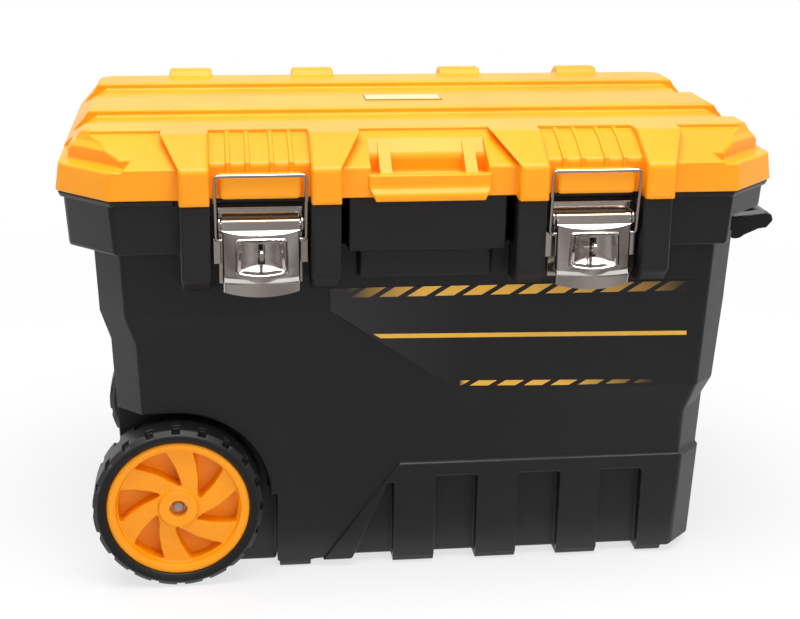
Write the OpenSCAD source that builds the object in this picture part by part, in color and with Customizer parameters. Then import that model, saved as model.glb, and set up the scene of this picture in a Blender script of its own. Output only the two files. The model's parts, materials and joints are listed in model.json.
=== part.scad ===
// Rolling moulded toolbox: a drafted tub on two wheels, a hinged lid with two
// over-centre draw latches, and a folding tow handle at the end away from the wheels.
// Front faces -Y, wheels at the -X end, floor at Z = 0.

/* [Overall] */
// Width over the lid skirt
lid_w = 620; // [590:1:660]
// Depth over the lid skirt
lid_d = 354; // [340:1:390]
// Height of the tub rim above the floor
rim_z = 359; // [350:1:385]
// Height of the lid from its lower edge to its flat top
lid_h = 49.2; // [46:0.2:56]
// Wall thickness of the tub and the lid
wall = 4; // [3:0.5:5]
// Parting gap between the rim and the lid
rim_gap = 0.6; // [0.4:0.1:0.9]

/* [Tub] */
// Inward slope of the tub walls, per mm of height
draft = 0.036; // [0.02:0.002:0.05]
// Height of the collar under the rim
collar_h = 48; // [44:1:54]
// How far the collar stands inside the lid skirt
collar_in = 6; // [5:0.5:8]
// How far the collar overhangs the wall below it
collar_step = 23; // [19:0.5:25]
// Plan chamfer of the wall corners
wall_corner = 24; // [16:1:30]
// Plan chamfer of the collar corners
collar_corner = 41; // [32:1:44]
// How far the lower wall steps back behind the upper wall
step_in = 7; // [4:0.5:9]
// Height of the foot of the wall step at the wheel end
step_left_z = 218; // [205:1:230]
// Height of the foot of the wall step at the handle end
step_right_z = 139; // [130:1:150]
// Height of the sloped band of the wall step
step_band = 33; // [24:1:36]
// Where the slanted part of the wall step starts
slant_x0 = -88; // [-105:1:-75]
// Where the slanted part of the wall step ends
slant_x1 = 26; // [10:1:40]
// Height of the feet under the floor
foot_h = 7; // [5:0.5:10]
// Length of each foot from the wall inwards
foot_len = 36; // [24:1:50]
// Top of the raised base band
base_band_z = 103; // [95:1:115]
// Run of the base band's slanted end
base_band_run = 76; // [60:1:90]
// How far the base band stands proud of the lower wall
base_band_out = 2.5; // [1.5:0.5:4]
// Width of the slots in the base band
slot_w = 39; // [30:1:44]
// Distance between the slots
slot_pitch = 77; // [70:1:80]
// Centre of the slot nearest the middle
slot_x = 35.5; // [28:0.5:42]
// Depth of the slots
slot_depth = 9; // [5:0.5:11]
// Top of the slots
slot_z = 87; // [75:1:92]

/* [Lid] */
// Height of the upright lid skirt
skirt_h = 25.4; // [22:0.2:28]
// How far the ends of the skirt lean in over its height
skirt_draft = 3.5; // [1:0.5:5]
// Plan chamfer of the skirt corners
lid_corner = 45; // [38:1:48]
// Height of the riser along the front of the top
riser_h = 3.5; // [2:0.25:5]
// Depth of the two grooves along the top
groove_depth = 6.8; // [4:0.2:8]
// Width of the front flat, from the shoulder to the first groove
flat_a = 35; // [28:1:42]
// Width of the first groove
groove_a = 62; // [50:1:68]
// Width of the middle flat
flat_b = 65; // [55:1:75]
// Width of the second groove
groove_b = 77; // [64:1:80]
// Height of the hinge covers above the flat top
bump_h = 6.4; // [4:0.2:8]
// Half width of the hand pocket
pocket_half = 49.5; // [46:0.5:52]
// Depth of the hand pocket from the skirt
pocket_deep = 25; // [23:0.5:26]
// Distance of the hand pocket's two struts from the middle
strut_in = 31; // [26:0.5:34]
// Width of a strut
strut_w = 10; // [8:0.5:12]
// Length of the corner notches from the skirt's front
notch_len = 110; // [80:1:130]

/* [Latches] */
// Distance of each latch from the middle
latch_x = 140.5; // [132:0.5:146]
// Half width of the gap between the two pillars of a latch
latch_half = 41.5; // [41.2:0.1:44]
// Width of a pillar
pillar_w = 25; // [20:0.5:28]
// Depth of the latch wall behind the lid skirt
latch_wall_in = 17; // [15:0.5:18]
// Sheet thickness of the base plate
plate_t = 1.5; // [1:0.25:2]
// Distance of the lever pin from the latch wall
pin_out = 12; // [11:0.5:13]
// Distance of the lever pin below the rim
pin_drop = 21; // [20:0.5:24]
// Diameter of the lever pin
pin_d = 4; // [3:0.5:4.5]
// Distance of the bail's hooks below the lever pin
hook_drop = 13; // [12:0.5:14]
// Wire diameter of the bail
wire_d = 3.2; // [2.6:0.1:3.4]
// Height of the bail's bar above its hooks
bail_rise = 56; // [52:0.5:58]
// Half width of the lever
lever_half = 32; // [30:0.25:32.5]
// Length of the lever below its pin
lever_len = 59.5; // [56:0.5:66]
// Distance of the sides of the lever's face from its pin
lever_out = 7.4; // [7:0.1:8.5]
// How far the lever's face bows out in the middle
lever_bow = 7; // [5:0.25:8]
// Half width of the dish in the lever's face
dish_half = 20.5; // [18:0.5:23]
// Depth of the dish below the middle of the face
dish_deep = 9; // [8:0.25:10]
// Sheet thickness of the lever
lever_t = 2; // [1.5:0.25:2.5]
// Half width of the plate's two wings
wing_half = 39.5; // [38:0.25:40.5]
// Half width of the keeper block on the lid
keeper_half = 33.5; // [30:0.5:34]
// Height of the keeper block
keeper_h = 21; // [18:0.5:22]
// Hole for the padlock shackle
shackle_d = 6; // [5:0.25:6.5]

/* [Wheels] */
// Diameter over the tyre
wheel_d = 150; // [140:1:154]
// Width of the tyre
wheel_w = 46; // [40:0.5:48]
// Diameter of the rim inside the tyre
rim_d = 126; // [116:1:130]
// Diameter of the axle
axle_d = 10; // [8:0.5:12]
// Distance of the axle from the end of the lid
axle_in = 93.5; // [90:0.5:98]
// Distance of the tyre's outer face behind the lid skirt
wheel_in = 18; // [14:0.5:22]
// Gap between the tyre and the arch
arch_gap = 7; // [5:0.5:9]
// Thickness of the washer between wheel and tub
washer_t = 2; // [1.5:0.25:3]
// Number of curved spokes
spokes = 6; // [5:1:8]
// Number of lugs round each shoulder of the tread
tread_lugs = 20; // [14:1:24]
// Width of the notches between the lugs
tread_gap = 7; // [4:0.5:9]
// Depth of the notches
tread_depth = 3; // [2:0.25:4]
// How far the notches reach across the tread
tread_reach = 15; // [10:0.5:20]

/* [Tow handle] */
// Length of the handle along Y
handle_len = 210; // [180:2:220]
// Reach of the handle from its pins
handle_reach = 27; // [26:0.5:34]
// Diameter of the handle's bar
handle_bar_d = 15; // [12:0.5:16]
// Height of the arms at the pins
handle_arm_h = 21; // [18:0.5:23]
// Thickness of the arms
handle_arm_t = 13; // [10:0.5:15]
// Diameter of the handle pins
handle_pin_d = 8; // [6:0.5:9]
// Height of the pocket's roof below the rim
handle_roof = 24; // [20:0.5:26]

/* [Hinge] */
// Distance of the inner knuckles from the middle
hinge_x_in = 75.5; // [70:0.5:80]
// Distance of the outer knuckles from the middle
hinge_x_out = 198; // [190:0.5:205]
// Diameter of the hinge rod
rod_d = 5; // [4:0.5:6]
// Outer radius of the hinge knuckles
knuckle_r = 6; // [5:0.25:6.5]
// Length of the lid's knuckles
knuckle_len = 38; // [30:1:42]
// Length of the tub's knuckles
tub_knuckle_len = 16; // [12:1:18]

/* [Labels] */
// Thickness of the front label
label_t = 0.5; // [0.3:0.1:1]
// Width of the nameplate on the lid
nameplate_w = 72; // [60:1:90]
// Depth of the nameplate on the lid
nameplate_d = 27; // [20:1:34]
// Thickness of the nameplate on the lid
nameplate_t = 0.8; // [0.5:0.1:1.2]

/* [Clearances] */
// Radial clearance of turning fits
run_gap = 0.05; // [0.03:0.01:0.08]
// Radial clearance of fixed pins in their holes
seat_gap = 0.02; // [0.01:0.01:0.04]
// Clearance between faces that pass each other
pass_gap = 0.6; // [0.4:0.1:0.8]
// Gap between the bail's legs and the plate's ears
bail_gap = 0.6; // [0.4:0.1:1]

/* [Hidden] */
$fn = 64;

ORANGE = "#F9A11B";
BLACK = "#2A2A2C";
RUBBER = "#303032";
STEEL = "#C9CBCE";
far = 600;
eps = 0.5;

// Heights of the tub and the lid
collar_z = rim_z - collar_h;
lid_z = rim_z + rim_gap;
top_z = lid_z + lid_h;
skirt_z = lid_z + skirt_h;
shoulder_z = top_z - 7.8;
groove_z = top_z - groove_depth;
half_w = lid_w / 2;
half_d = lid_d / 2;
shoulder_front = half_d - 34;
flat_front = half_d - 50;
flat_back = half_d - 17;
flat_end = half_w - 23;

// Hand pocket and its bar
pocket_floor = skirt_z - 11;
pocket_back = -(half_d - pocket_deep);
pocket_brow = skirt_z + 5;
pocket_crest_y = -(shoulder_front - 4);
pocket_crest_z = shoulder_z + 1;
grip_top = skirt_z - 6;
grip_back = -(half_d - 5);
grip_out = 9;
grip_lip = 6;
grip_step = 5.4;

// Places along the depth of the lid's top
groove_a0 = -flat_front + flat_a;
groove_a1 = groove_a0 + groove_a;
groove_b0 = groove_a1 + flat_b;
groove_b1 = groove_b0 + groove_b;

// Slanted part of the wall step, drawn on past both its ends
slant_fall = (step_left_z - step_right_z) / (slant_x1 - slant_x0);
slant_past = (slant_x1 - slant_x0) / 2;

// Pillars beside the latches, from the middle outwards
inner_pillar = [latch_x - latch_half - pillar_w, latch_x - latch_half];
outer_pillar = [latch_x + latch_half, latch_x + latch_half + pillar_w];
pillar_out = 13;
pillar_foot_z = collar_z - 30;
tub_pillar_y = -(half_d + 7);
lid_pillar_y = -(half_d + pillar_out);
pillar_drop = 3;
rib_w = 3.5;
rib_h = 2;

// Latch
latch_wall_y = -(half_d - latch_wall_in);
lid_latch_y = -(half_d - 7);
pin_y = latch_wall_y - pin_out;
pin_z = rim_z - pin_drop;
pin_r = pin_d / 2;
wire_r = wire_d / 2;
keeper_y = -(half_d + 4.5);
hook_y = pin_y - 3.5;
hook_z = pin_z - hook_drop;
bar_y = keeper_y - 0.4 - wire_r;
bar_z = hook_z + bail_rise;
bail_bend = 1.1 * wire_d;
lever_y = pin_y - lever_out;
roll_r = pin_r + 3.4;
bow_half = lever_half + 1.5;
bow_r = (bow_half ^ 2 + lever_bow ^ 2) / (2 * lever_bow);
bow_y = lever_y - lever_bow + bow_r;
crease_z = pin_z - 3.7;
crease_slope = 4 / 7;
band_z = pin_z - 43;
ridge_z = pin_z - 47.5;
ridge_out = 3;
lever_foot = pin_z - lever_len;
foot_bow = 3.5;
dish_y = lever_y - lever_bow + dish_deep;
dish_sag = dish_y - bow_y + sqrt(bow_r ^ 2 - dish_half ^ 2);
dish_r = (dish_half ^ 2 + dish_sag ^ 2) / (2 * dish_sag);
dish_top = pin_z - 9.8;
dish_foot = pin_z - 41.2;
dish_sill = 8;
dish_brow = 4;
flange_t = 1.5;
wing_out = 8;
wing_top = pin_z - 13.5;
wing_foot = pin_z - 35;
ear_t = 2;
ear_x = lever_half + 1.2;
ear_r = 6;
plate_half = ear_x + ear_t;
bail_half = plate_half + bail_gap + wire_r;
plate_top = rim_z - 8;
plate_foot = pin_z - 54;
staple_top = pin_z - 19;
staple_foot = pin_z - 29;
staple_y = -(half_d + 12);
staple_t = 3;
eye_r = (staple_top - staple_foot) / 2;
eye_y = staple_y + eye_r;
eye_z = staple_foot + eye_r;
slot_top = pin_z - 16;
slot_foot = pin_z - 36;
rivet_r = 2;
rivet_head_r = 4;
rivet_head_t = 1.5;
rivet_spots = [for (x = [-26, 26], z = [plate_foot + 8, pin_z - 16]) [x, z]];

// Wheels
axle_x = -(half_w - axle_in);
wheel_r = wheel_d / 2;
rim_r = rim_d / 2;
axle_r = axle_d / 2;
axle_z = wheel_r;
wheel_face = half_d - wheel_in;
wheel_back = wheel_face - wheel_w;
hub_back = wheel_back + 1;
arch_r = wheel_r + arch_gap;
well_y = hub_back - washer_t - 0.4;
hub_r = 17;
spoke_turn = 18;
clip_r = axle_r + 2.2;
clip_t = 1;
counterbore = 9;
hub_face = wheel_face - 3;
tunnel_half = 22;
tunnel_top = axle_z + 18;
boss_r = 13;
boss_len = 12;

// Hinge
hinge_y = half_d + knuckle_r;
hinge_z = rim_z - knuckle_r - 1;
rod_r = rod_d / 2;
hinge_spots = [-hinge_x_out, -hinge_x_in, hinge_x_in, hinge_x_out];
rod_half = hinge_x_out + knuckle_len / 2 + pass_gap + tub_knuckle_len + 5;

// Tow handle
handle_x = half_w - collar_in - collar_step + handle_arm_h / 2 + pass_gap;
handle_z = rim_z - handle_roof - handle_arm_h / 2 - 16;
handle_pin_r = handle_pin_d / 2;
handle_roof_z = rim_z - handle_roof;
handle_pocket_x = half_w - lid_corner;
lug_len = 12;
handle_cover = 3;
lug_outer = handle_len / 2 - handle_arm_t - pass_gap;

// Half width of the upper tub wall at a height
function up_w(z) = half_w - collar_in - collar_step - draft * (collar_z - z);

// Half depth of the upper tub wall at a height
function up_d(z) = half_d - collar_in - collar_step - draft * (collar_z - z);

// One ring of the tub wall, set in from the upper wall
function wall_ring(z, inset) = [z, up_w(z) - inset, -(up_d(z) - inset), up_d(z) - inset, wall_corner];

// Corners of an eight-sided ring, anticlockwise from above
function ring_points(r) = [
    [-r[1], r[2] + r[4], r[0]], [-r[1] + r[4], r[2], r[0]],
    [r[1] - r[4], r[2], r[0]], [r[1], r[2] + r[4], r[0]],
    [r[1], r[3] - r[4], r[0]], [r[1] - r[4], r[3], r[0]],
    [-r[1] + r[4], r[3], r[0]], [-r[1], r[3] - r[4], r[0]]
];

// Rings of the lid's outside, or of a smaller form inside it
function lid_rings(inset) = [
    [lid_z - inset / 2, half_w - inset, -(half_d - inset), half_d - inset, lid_corner],
    [skirt_z - inset / 2, half_w - skirt_draft - inset, -(half_d - inset), half_d - inset, lid_corner],
    [shoulder_z - inset, half_w - 18 - inset, -(shoulder_front - inset), half_d - 6 - inset, 25],
    [top_z - inset, flat_end - inset, -(flat_front - inset), flat_back - inset, 9]
];

// Solid through stacked eight-sided rings, each [height, half width, front, back, corner]
module rings(levels) {
    n = len(levels);
    polyhedron(
        points = [for (r = levels) each ring_points(r)],
        faces = concat(
            [[for (i = [0:7]) i]],
            [[for (i = [7:-1:0]) 8 * (n - 1) + i]],
            [for (k = [0:n - 2], i = [0:7])
                [8 * k + i, 8 * k + 8 + i, 8 * k + 8 + (i + 1) % 8, 8 * k + (i + 1) % 8]]
        )
    );
}

// Solid between two like outlines in X and Z, standing at two places along Y
module loft_y(front, y_front, back, y_back) {
    n = len(front);
    polyhedron(
        points = concat([for (p = front) [p[0], y_front, p[1]]], [for (p = back) [p[0], y_back, p[1]]]),
        faces = concat(
            [[for (i = [n - 1:-1:0]) i]],
            [[for (i = [0:n - 1]) n + i]],
            [for (i = [0:n - 1]) [i, (i + 1) % n, n + (i + 1) % n, n + i]]
        )
    );
}

module block(low, high) {
    translate(low) cube(high - low);
}

// Outline in Y and Z, drawn out along X
module along_x(x0, x1) {
    translate([x0, 0, 0]) rotate([90, 0, 90]) linear_extrude(x1 - x0) children();
}

// Outline in X and Z, drawn out along Y
module along_y(y0, y1) {
    translate([0, y1, 0]) rotate([90, 0, 0]) linear_extrude(y1 - y0) children();
}

module rod_x(x0, x1, y, z, r) {
    translate([x0, y, z]) rotate([0, 90, 0]) cylinder(r = r, h = x1 - x0);
}

module rod_y(x, y0, y1, z, r) {
    translate([x, y1, z]) rotate([90, 0, 0]) cylinder(r = r, h = y1 - y0);
}

module both_ends() {
    children();
    mirror([1, 0, 0]) children();
}

module both_sides() {
    children();
    mirror([0, 1, 0]) children();
}

// Everything above and to the right of the slanted wall step
module slant_region(inset) {
    x0 = slant_x0 - slant_past + 1.5 * inset;
    x1 = slant_x1 + slant_past + 1.5 * inset;
    z0 = step_left_z + slant_past * slant_fall;
    z1 = step_right_z - slant_past * slant_fall;
    y_out = up_d(step_right_z) + step_in;
    y_in = up_d(step_right_z) - 3 * step_in;
    rise_out = step_band * 2;
    rise_in = -step_band * 2;
    both_sides()
        loft_y(
            [[x0, z0 + rise_out], [x1, z1 + rise_out], [far, z1 + rise_out], [far, rim_z], [x0, rim_z]],
            -(y_out - inset),
            [[x0, z0 + rise_in], [x1, z1 + rise_in], [far, z1 + rise_in], [far, rim_z], [x0, rim_z]],
            -(y_in - inset)
        );
}

// Drafted wall with its slanted step, solid, set in by a wall thickness where it is hollowed
module wall_form(inset, z0, z1) {
    rings([wall_ring(z0, step_in + inset), wall_ring(z1, step_in + inset)]);
    rings([
        wall_ring(step_left_z, step_in + inset + 1),
        wall_ring(step_left_z + step_band, inset),
        wall_ring(z1, inset)
    ]);
    intersection() {
        rings([
            wall_ring(step_right_z, step_in + inset + 1),
            wall_ring(step_right_z + step_band, inset),
            wall_ring(z1, inset)
        ]);
        slant_region(inset);
    }
}

module collar_form(inset, z0, z1) {
    w = half_w - collar_in - inset;
    d = half_d - collar_in - inset;
    rings([[z0, w - 3, -(d - 2), d - 2, collar_corner], [z1, w, -d, d, collar_corner]]);
}

// Base band, right of its slanted end
module base_band() {
    out = step_in - base_band_out;
    intersection() {
        rings([
            wall_ring(foot_h, out),
            wall_ring(base_band_z - base_band_out, out),
            wall_ring(base_band_z, step_in + 0.5)
        ]);
        along_y(-far, far)
            polygon([
                [slant_x0 - 4, 0], [far, 0], [far, base_band_z + 1],
                [slant_x0 - 4 + base_band_run, base_band_z + 1]
            ]);
    }
}

// Space of one wheel, at the front; grow adds the wall around it
module wheel_well(grow) {
    rod_y(axle_x, -far, -(well_y - grow), axle_z, arch_r + grow);
    block([-far, -far, -eps - grow], [axle_x, -(well_y - grow), axle_z + arch_r + grow]);
    block([axle_x, -far, -eps - grow], [axle_x + arch_r + 6 + grow, -(well_y - grow), axle_z]);
}

// Space over the axle between the wheel wells
module axle_tunnel(grow) {
    block(
        [axle_x - tunnel_half - grow, -(well_y - wall - eps), -eps],
        [axle_x + tunnel_half + grow, well_y - wall - eps, tunnel_top + grow]
    );
}

// Boxes between the pillars where the latches stand
module latch_recess(grow) {
    both_ends()
        block(
            [latch_x - latch_half - grow, -far, pillar_foot_z - 20],
            [latch_x + latch_half + grow, latch_wall_y + grow, far]
        );
}

// Thin flange round the ends of the rim, just inside the lid's skirt
module rim_flange() {
    w = half_w - 1.5;
    d = half_d - 1.5;
    difference() {
        rings([[rim_z - 5, w - 2, -(d - 2), d - 2, lid_corner], [rim_z, w, -d, d, lid_corner]]);
        block([-(outer_pillar[1] + 4), -far, 0], [outer_pillar[1] + 4, -half_d + 12, far]);
        block([-rod_half - 2, half_d - 12, 0], [rod_half + 2, far, far]);
    }
}

module handle_pocket(grow) {
    block([handle_pocket_x - grow, -far, collar_z - 20], [far, far, handle_roof_z + grow]);
}

// Upright pillar beside a latch, with a sloped foot
module tub_pillar(span) {
    along_x(span[0], span[1])
        polygon([
            [-up_d(collar_z) + 12, pillar_foot_z], [tub_pillar_y + 12, pillar_foot_z],
            [tub_pillar_y, pillar_foot_z + 12], [tub_pillar_y, lid_z - pillar_drop - pass_gap],
            [-up_d(collar_z) + 12, lid_z - pillar_drop - pass_gap]
        ]);
}

module tub_front_blocks() {
    both_ends() {
        tub_pillar(inner_pillar);
        tub_pillar(outer_pillar);
        along_x(inner_pillar[1] - eps, outer_pillar[0] + eps)
            polygon([
                [-up_d(collar_z) + 12, pillar_foot_z - 4], [-up_d(pillar_foot_z) - 1, pillar_foot_z - 4],
                [latch_wall_y, pillar_foot_z + 8], [latch_wall_y, rim_z], [-up_d(collar_z) + 12, rim_z]
            ]);
    }
    block(
        [-(inner_pillar[0] - 17), -(up_d(collar_z) + 11), pillar_foot_z + 4],
        [inner_pillar[0] - 17, -(up_d(collar_z) - 12), collar_z + 1]
    );
}

// Slots up the base band; the one at its slanted end is three-cornered
module slot_cuts(grow) {
    face = up_d(foot_h) - step_in + base_band_out;
    deep = -(face - slot_depth - grow);
    edge = slot_x - slot_pitch + slot_w / 2;
    both_sides() {
        for (i = [0:2])
            block(
                [slot_x + i * slot_pitch - slot_w / 2 - grow, -far, -eps],
                [slot_x + i * slot_pitch + slot_w / 2 + grow, deep, slot_z + grow]
            );
        along_y(-far, deep)
            polygon([
                [slant_x0 + 25 - grow, -eps], [edge + grow, -eps], [edge + grow, slot_z - 4 + grow],
                [edge - 6 - grow, slot_z - 4 + grow]
            ]);
    }
}

module feet() {
    face = up_d(foot_h) - step_in;
    spots = concat(
        [[axle_x + arch_r + 8, slant_x0 - 10]],
        [for (i = [-1:1]) [slot_x + i * slot_pitch + slot_w / 2, slot_x + (i + 1) * slot_pitch - slot_w / 2]],
        [[slot_x + 2 * slot_pitch + slot_w / 2, slot_x + 2 * slot_pitch + slot_w / 2 + 24]]
    );
    both_sides()
        for (s = spots)
            along_x(s[0], s[1])
                polygon([
                    [-(face - foot_len), foot_h + 1], [-face, foot_h + 1],
                    [-face, foot_h - 1], [-face + 3, 0], [-(face - foot_len), 0]
                ]);
    both_sides()
        block(
            [axle_x + tunnel_half + wall, -well_y, 0],
            [axle_x + arch_r + 6, -(well_y - 12), foot_h + 1]
        );
    block([-60, -15, 0], [60, 15, foot_h + 1]);
}

module tub_knuckle(x0) {
    rod_x(x0, x0 + tub_knuckle_len, hinge_y, hinge_z, knuckle_r);
    along_x(x0, x0 + tub_knuckle_len)
        polygon([
            [half_d - collar_in - 3, hinge_z + knuckle_r], [hinge_y, hinge_z + knuckle_r],
            [hinge_y, hinge_z - knuckle_r], [half_d - collar_in - 3, hinge_z - 20]
        ]);
}

module handle_lugs() {
    wall_x = up_w(handle_z) - step_in;
    both_sides() {
        rod_y(handle_x, -lug_outer, -(lug_outer - lug_len), handle_z, handle_pin_r + 5);
        block(
            [wall_x, -lug_outer, handle_z - handle_pin_r - 5],
            [handle_x, -(lug_outer - lug_len), handle_z + handle_pin_r + 5]
        );
    }
}

module tub_outside() {
    wall_form(0, foot_h, collar_z + 1);
    base_band();
    difference() {
        collar_form(0, collar_z, rim_z);
        latch_recess(0);
        handle_pocket(0);
        both_ends()
            block([inner_pillar[0] - 7, -far, 0], [inner_pillar[0] + 1, -up_d(collar_z) - 4, far]);
    }
    rim_flange();
    tub_front_blocks();
    feet();
    handle_lugs();
    for (x = hinge_spots) {
        tub_knuckle(x + knuckle_len / 2 + pass_gap);
        tub_knuckle(x - knuckle_len / 2 - pass_gap - tub_knuckle_len);
    }
}

module tub_hollow() {
    difference() {
        union() {
            wall_form(wall, foot_h + wall, collar_z + wall + 1);
            collar_form(wall, collar_z + wall, rim_z + eps);
        }
        latch_recess(wall);
        handle_pocket(wall);
        both_sides() wheel_well(wall);
        axle_tunnel(wall);
        slot_cuts(wall);
    }
}

module tub() {
    color(BLACK)
    difference() {
        union() {
            difference() {
                tub_outside();
                tub_hollow();
                both_sides() wheel_well(0);
                axle_tunnel(0);
                slot_cuts(0);
            }
            both_sides() rod_y(axle_x, -(well_y - eps), -(well_y - wall - boss_len), axle_z, boss_r);
        }
        rod_y(axle_x, -far, far, axle_z, axle_r + seat_gap);
        rod_x(-far, far, hinge_y, hinge_z, rod_r + seat_gap);
        both_sides() rod_y(handle_x, -far, -(lug_outer - lug_len - 1), handle_z, handle_pin_r + seat_gap);
        both_ends()
            for (s = rivet_spots)
                rod_y(latch_x + s[0], -far, latch_wall_y + 30, s[1], rivet_r + seat_gap);
    }
}

// Pillar on the lid's front, widening up the shoulder on the side away from the latch
module lid_pillar(latch_side, free_side, spread) {
    intersection() {
        along_x(min(latch_side, free_side) - 30, max(latch_side, free_side) + 30)
            polygon([
                [lid_pillar_y, lid_z - pillar_drop], [-(half_d - wall), lid_z - pillar_drop],
                [-(half_d - wall), skirt_z], [-(shoulder_front - wall / 2), shoulder_z - wall / 2],
                [-(flat_front - wall), top_z - wall], [-(flat_front - wall), top_z],
                [-shoulder_front - 3, top_z], [lid_pillar_y, skirt_z + 2]
            ]);
        along_y(-far, 0)
            polygon([
                [latch_side, lid_z - pillar_drop - 1], [free_side, lid_z - pillar_drop - 1],
                [free_side, skirt_z + 2], [free_side + spread, top_z + 1], [latch_side, top_z + 1]
            ]);
    }
}

// Cover over a lid knuckle, at the back edge of the top
module hinge_cover(x) {
    along_x(x - knuckle_len / 2 - 2, x + knuckle_len / 2 + 2)
        polygon([
            [flat_back - 14, top_z - 2], [flat_back - 8, top_z + bump_h], [flat_back + 8, top_z + bump_h],
            [hinge_y, top_z - 4], [hinge_y, lid_z + 12], [half_d - 3, lid_z + 2], [flat_back - 14, lid_z + 2]
        ]);
}

module lid_knuckle(x) {
    rod_x(x - knuckle_len / 2, x + knuckle_len / 2, hinge_y, hinge_z, knuckle_r);
    along_x(x - knuckle_len / 2, x + knuckle_len / 2)
        polygon([
            [hinge_y - knuckle_r, hinge_z], [hinge_y + knuckle_r, hinge_z], [hinge_y + knuckle_r, lid_z + 8],
            [hinge_y, lid_z + 16], [half_d - 3, lid_z + 16], [half_d - 3, lid_z + 1], [hinge_y - knuckle_r, lid_z + 1]
        ]);
}

// Cut of the hand pocket: a floor, an upright back and a slope up past the shoulder
module hand_pocket(grow) {
    run = 3 * (pocket_crest_y - pocket_back);
    rise = 3 * (pocket_crest_z - pocket_brow);
    back = pocket_back + grow;
    brow = pocket_brow - grow / 2;
    along_x(-pocket_half - grow, pocket_half + grow)
        polygon([
            [-far, pocket_floor - grow], [back, pocket_floor - grow], [back, brow], [back + run, brow + rise],
            [-far, far]
        ]);
}

// Strut that stands proud of the pocket's slope, from the shoulder down to the bar
module pocket_strut() {
    along_x(strut_in, strut_in + strut_w)
        polygon([
            [pocket_back + 1, pocket_floor - 1], [grip_back - 1, pocket_floor - 1], [grip_back - 1, grip_top - eps],
            [pocket_crest_y - 3, pocket_crest_z - 1.5], [pocket_crest_y - 2, pocket_crest_z - 4.5],
            [pocket_back + 1, pocket_brow - 3]
        ]);
}

// Bar along the mouth of the hand pocket, with a lip that is shorter at its foot
module grip_bar() {
    half = pocket_half + 1.5;
    foot = lid_z - 2;
    lip_top = foot + grip_lip + grip_step;
    lip_y = -(half_d + grip_out);
    intersection() {
        along_x(-half, half)
            polygon([
                [grip_back, foot], [lip_y, foot], [lip_y, foot + grip_lip], [lip_y + grip_step, lip_top],
                [lip_y + grip_step, grip_top], [grip_back, grip_top]
            ]);
        along_y(-far, far)
            polygon([
                [-half + grip_step, foot], [half - grip_step, foot], [half, lip_top], [half, grip_top + 1],
                [-half, grip_top + 1], [-half, lip_top]
            ]);
    }
}

// Thin cut along the front of the top, which leaves a riser above the shoulder
module riser_cut() {
    along_x(-far, far)
        polygon([
            [-flat_front, top_z + 1], [-flat_front, top_z - riser_h], [-shoulder_front, shoulder_z],
            [-shoulder_front - 3, shoulder_z + 3], [-shoulder_front, top_z + 1]
        ]);
}

// Ribs down the shoulder behind a latch
module latch_ribs() {
    for (x = [-26, -10, 10, 26])
        along_x(latch_x + x - rib_w / 2, latch_x + x + rib_w / 2)
            polygon([
                [lid_latch_y - rib_h, lid_z + keeper_h - 1], [lid_latch_y + 1, lid_z + keeper_h - 1],
                [-flat_front + 1, top_z - riser_h - 4], [-flat_front + 1, top_z - riser_h + rib_h],
                [-shoulder_front, shoulder_z + rib_h], [lid_latch_y - rib_h, skirt_z + 3 + rib_h]
            ]);
}

// Cuts below the shoulder at the two front corners
module corner_notches(grow) {
    w = half_w - 11 - grow;
    d = half_d - 13 - grow;
    x = outer_pillar[1] + 38;
    both_ends()
        difference() {
            along_y(-far, -half_d + notch_len + grow)
                polygon([
                    [x + 7 - grow, skirt_z - 1 - grow], [far, skirt_z - 1 - grow],
                    [far, shoulder_z - 4 + grow], [x - 7 - grow, shoulder_z - 4 + grow]
                ]);
            rings([
                [skirt_z - 10, w, -d, d, lid_corner],
                [shoulder_z + 10, w, -d, d, lid_corner]
            ]);
        }
}

module groove_cut(y0, y1) {
    reach = half_w + 30;
    drop = 1.2 * (reach - flat_end + 5) / 2;
    along_y(y0, y1)
        polygon([
            [-reach, groove_z - drop], [-flat_end + 5, groove_z], [flat_end - 5, groove_z],
            [reach, groove_z - drop], [reach, far], [-reach, far]
        ]);
}

module lid_latch_recess(grow) {
    both_ends()
        block(
            [latch_x - latch_half - grow, -far, 0],
            [latch_x + latch_half + grow, lid_latch_y + grow, shoulder_z + 20]
        );
}

module lid_hollow() {
    ceiling = groove_z - wall;
    difference() {
        union() {
            intersection() {
                rings(lid_rings(wall));
                block([-far, -far, 0], [far, far, ceiling]);
            }
            for (f = [[-flat_front, groove_a0], [groove_a1, groove_b0], [groove_b1, flat_back]])
                block([-flat_end + wall + 6, f[0] + wall, ceiling - 1], [flat_end - wall - 6, f[1] - wall, top_z - wall]);
        }
        lid_latch_recess(wall);
        hand_pocket(wall);
        corner_notches(wall);
    }
}

module lid() {
    color(ORANGE)
    difference() {
        union() {
            difference() {
                rings(lid_rings(0));
                lid_hollow();
                groove_cut(groove_a0, groove_a1);
                groove_cut(groove_b0, groove_b1);
                hand_pocket(0);
                lid_latch_recess(0);
                corner_notches(0);
                riser_cut();
            }
            both_ends() {
                latch_ribs();
                lid_pillar(inner_pillar[1], inner_pillar[0], -20);
                lid_pillar(outer_pillar[0], outer_pillar[1], 16);
                block(
                    [latch_x - keeper_half, keeper_y, lid_z + 1],
                    [latch_x + keeper_half, lid_latch_y + 2, lid_z + keeper_h]
                );
            }
            grip_bar();
            both_ends() pocket_strut();
            for (x = hinge_spots) {
                hinge_cover(x);
                lid_knuckle(x);
            }
        }
        rod_x(-far, far, hinge_y, hinge_z, rod_r + run_gap);
    }
}

module hinge_rod() {
    color(STEEL) rod_x(-rod_half, rod_half, hinge_y, hinge_z, rod_r);
}

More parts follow.
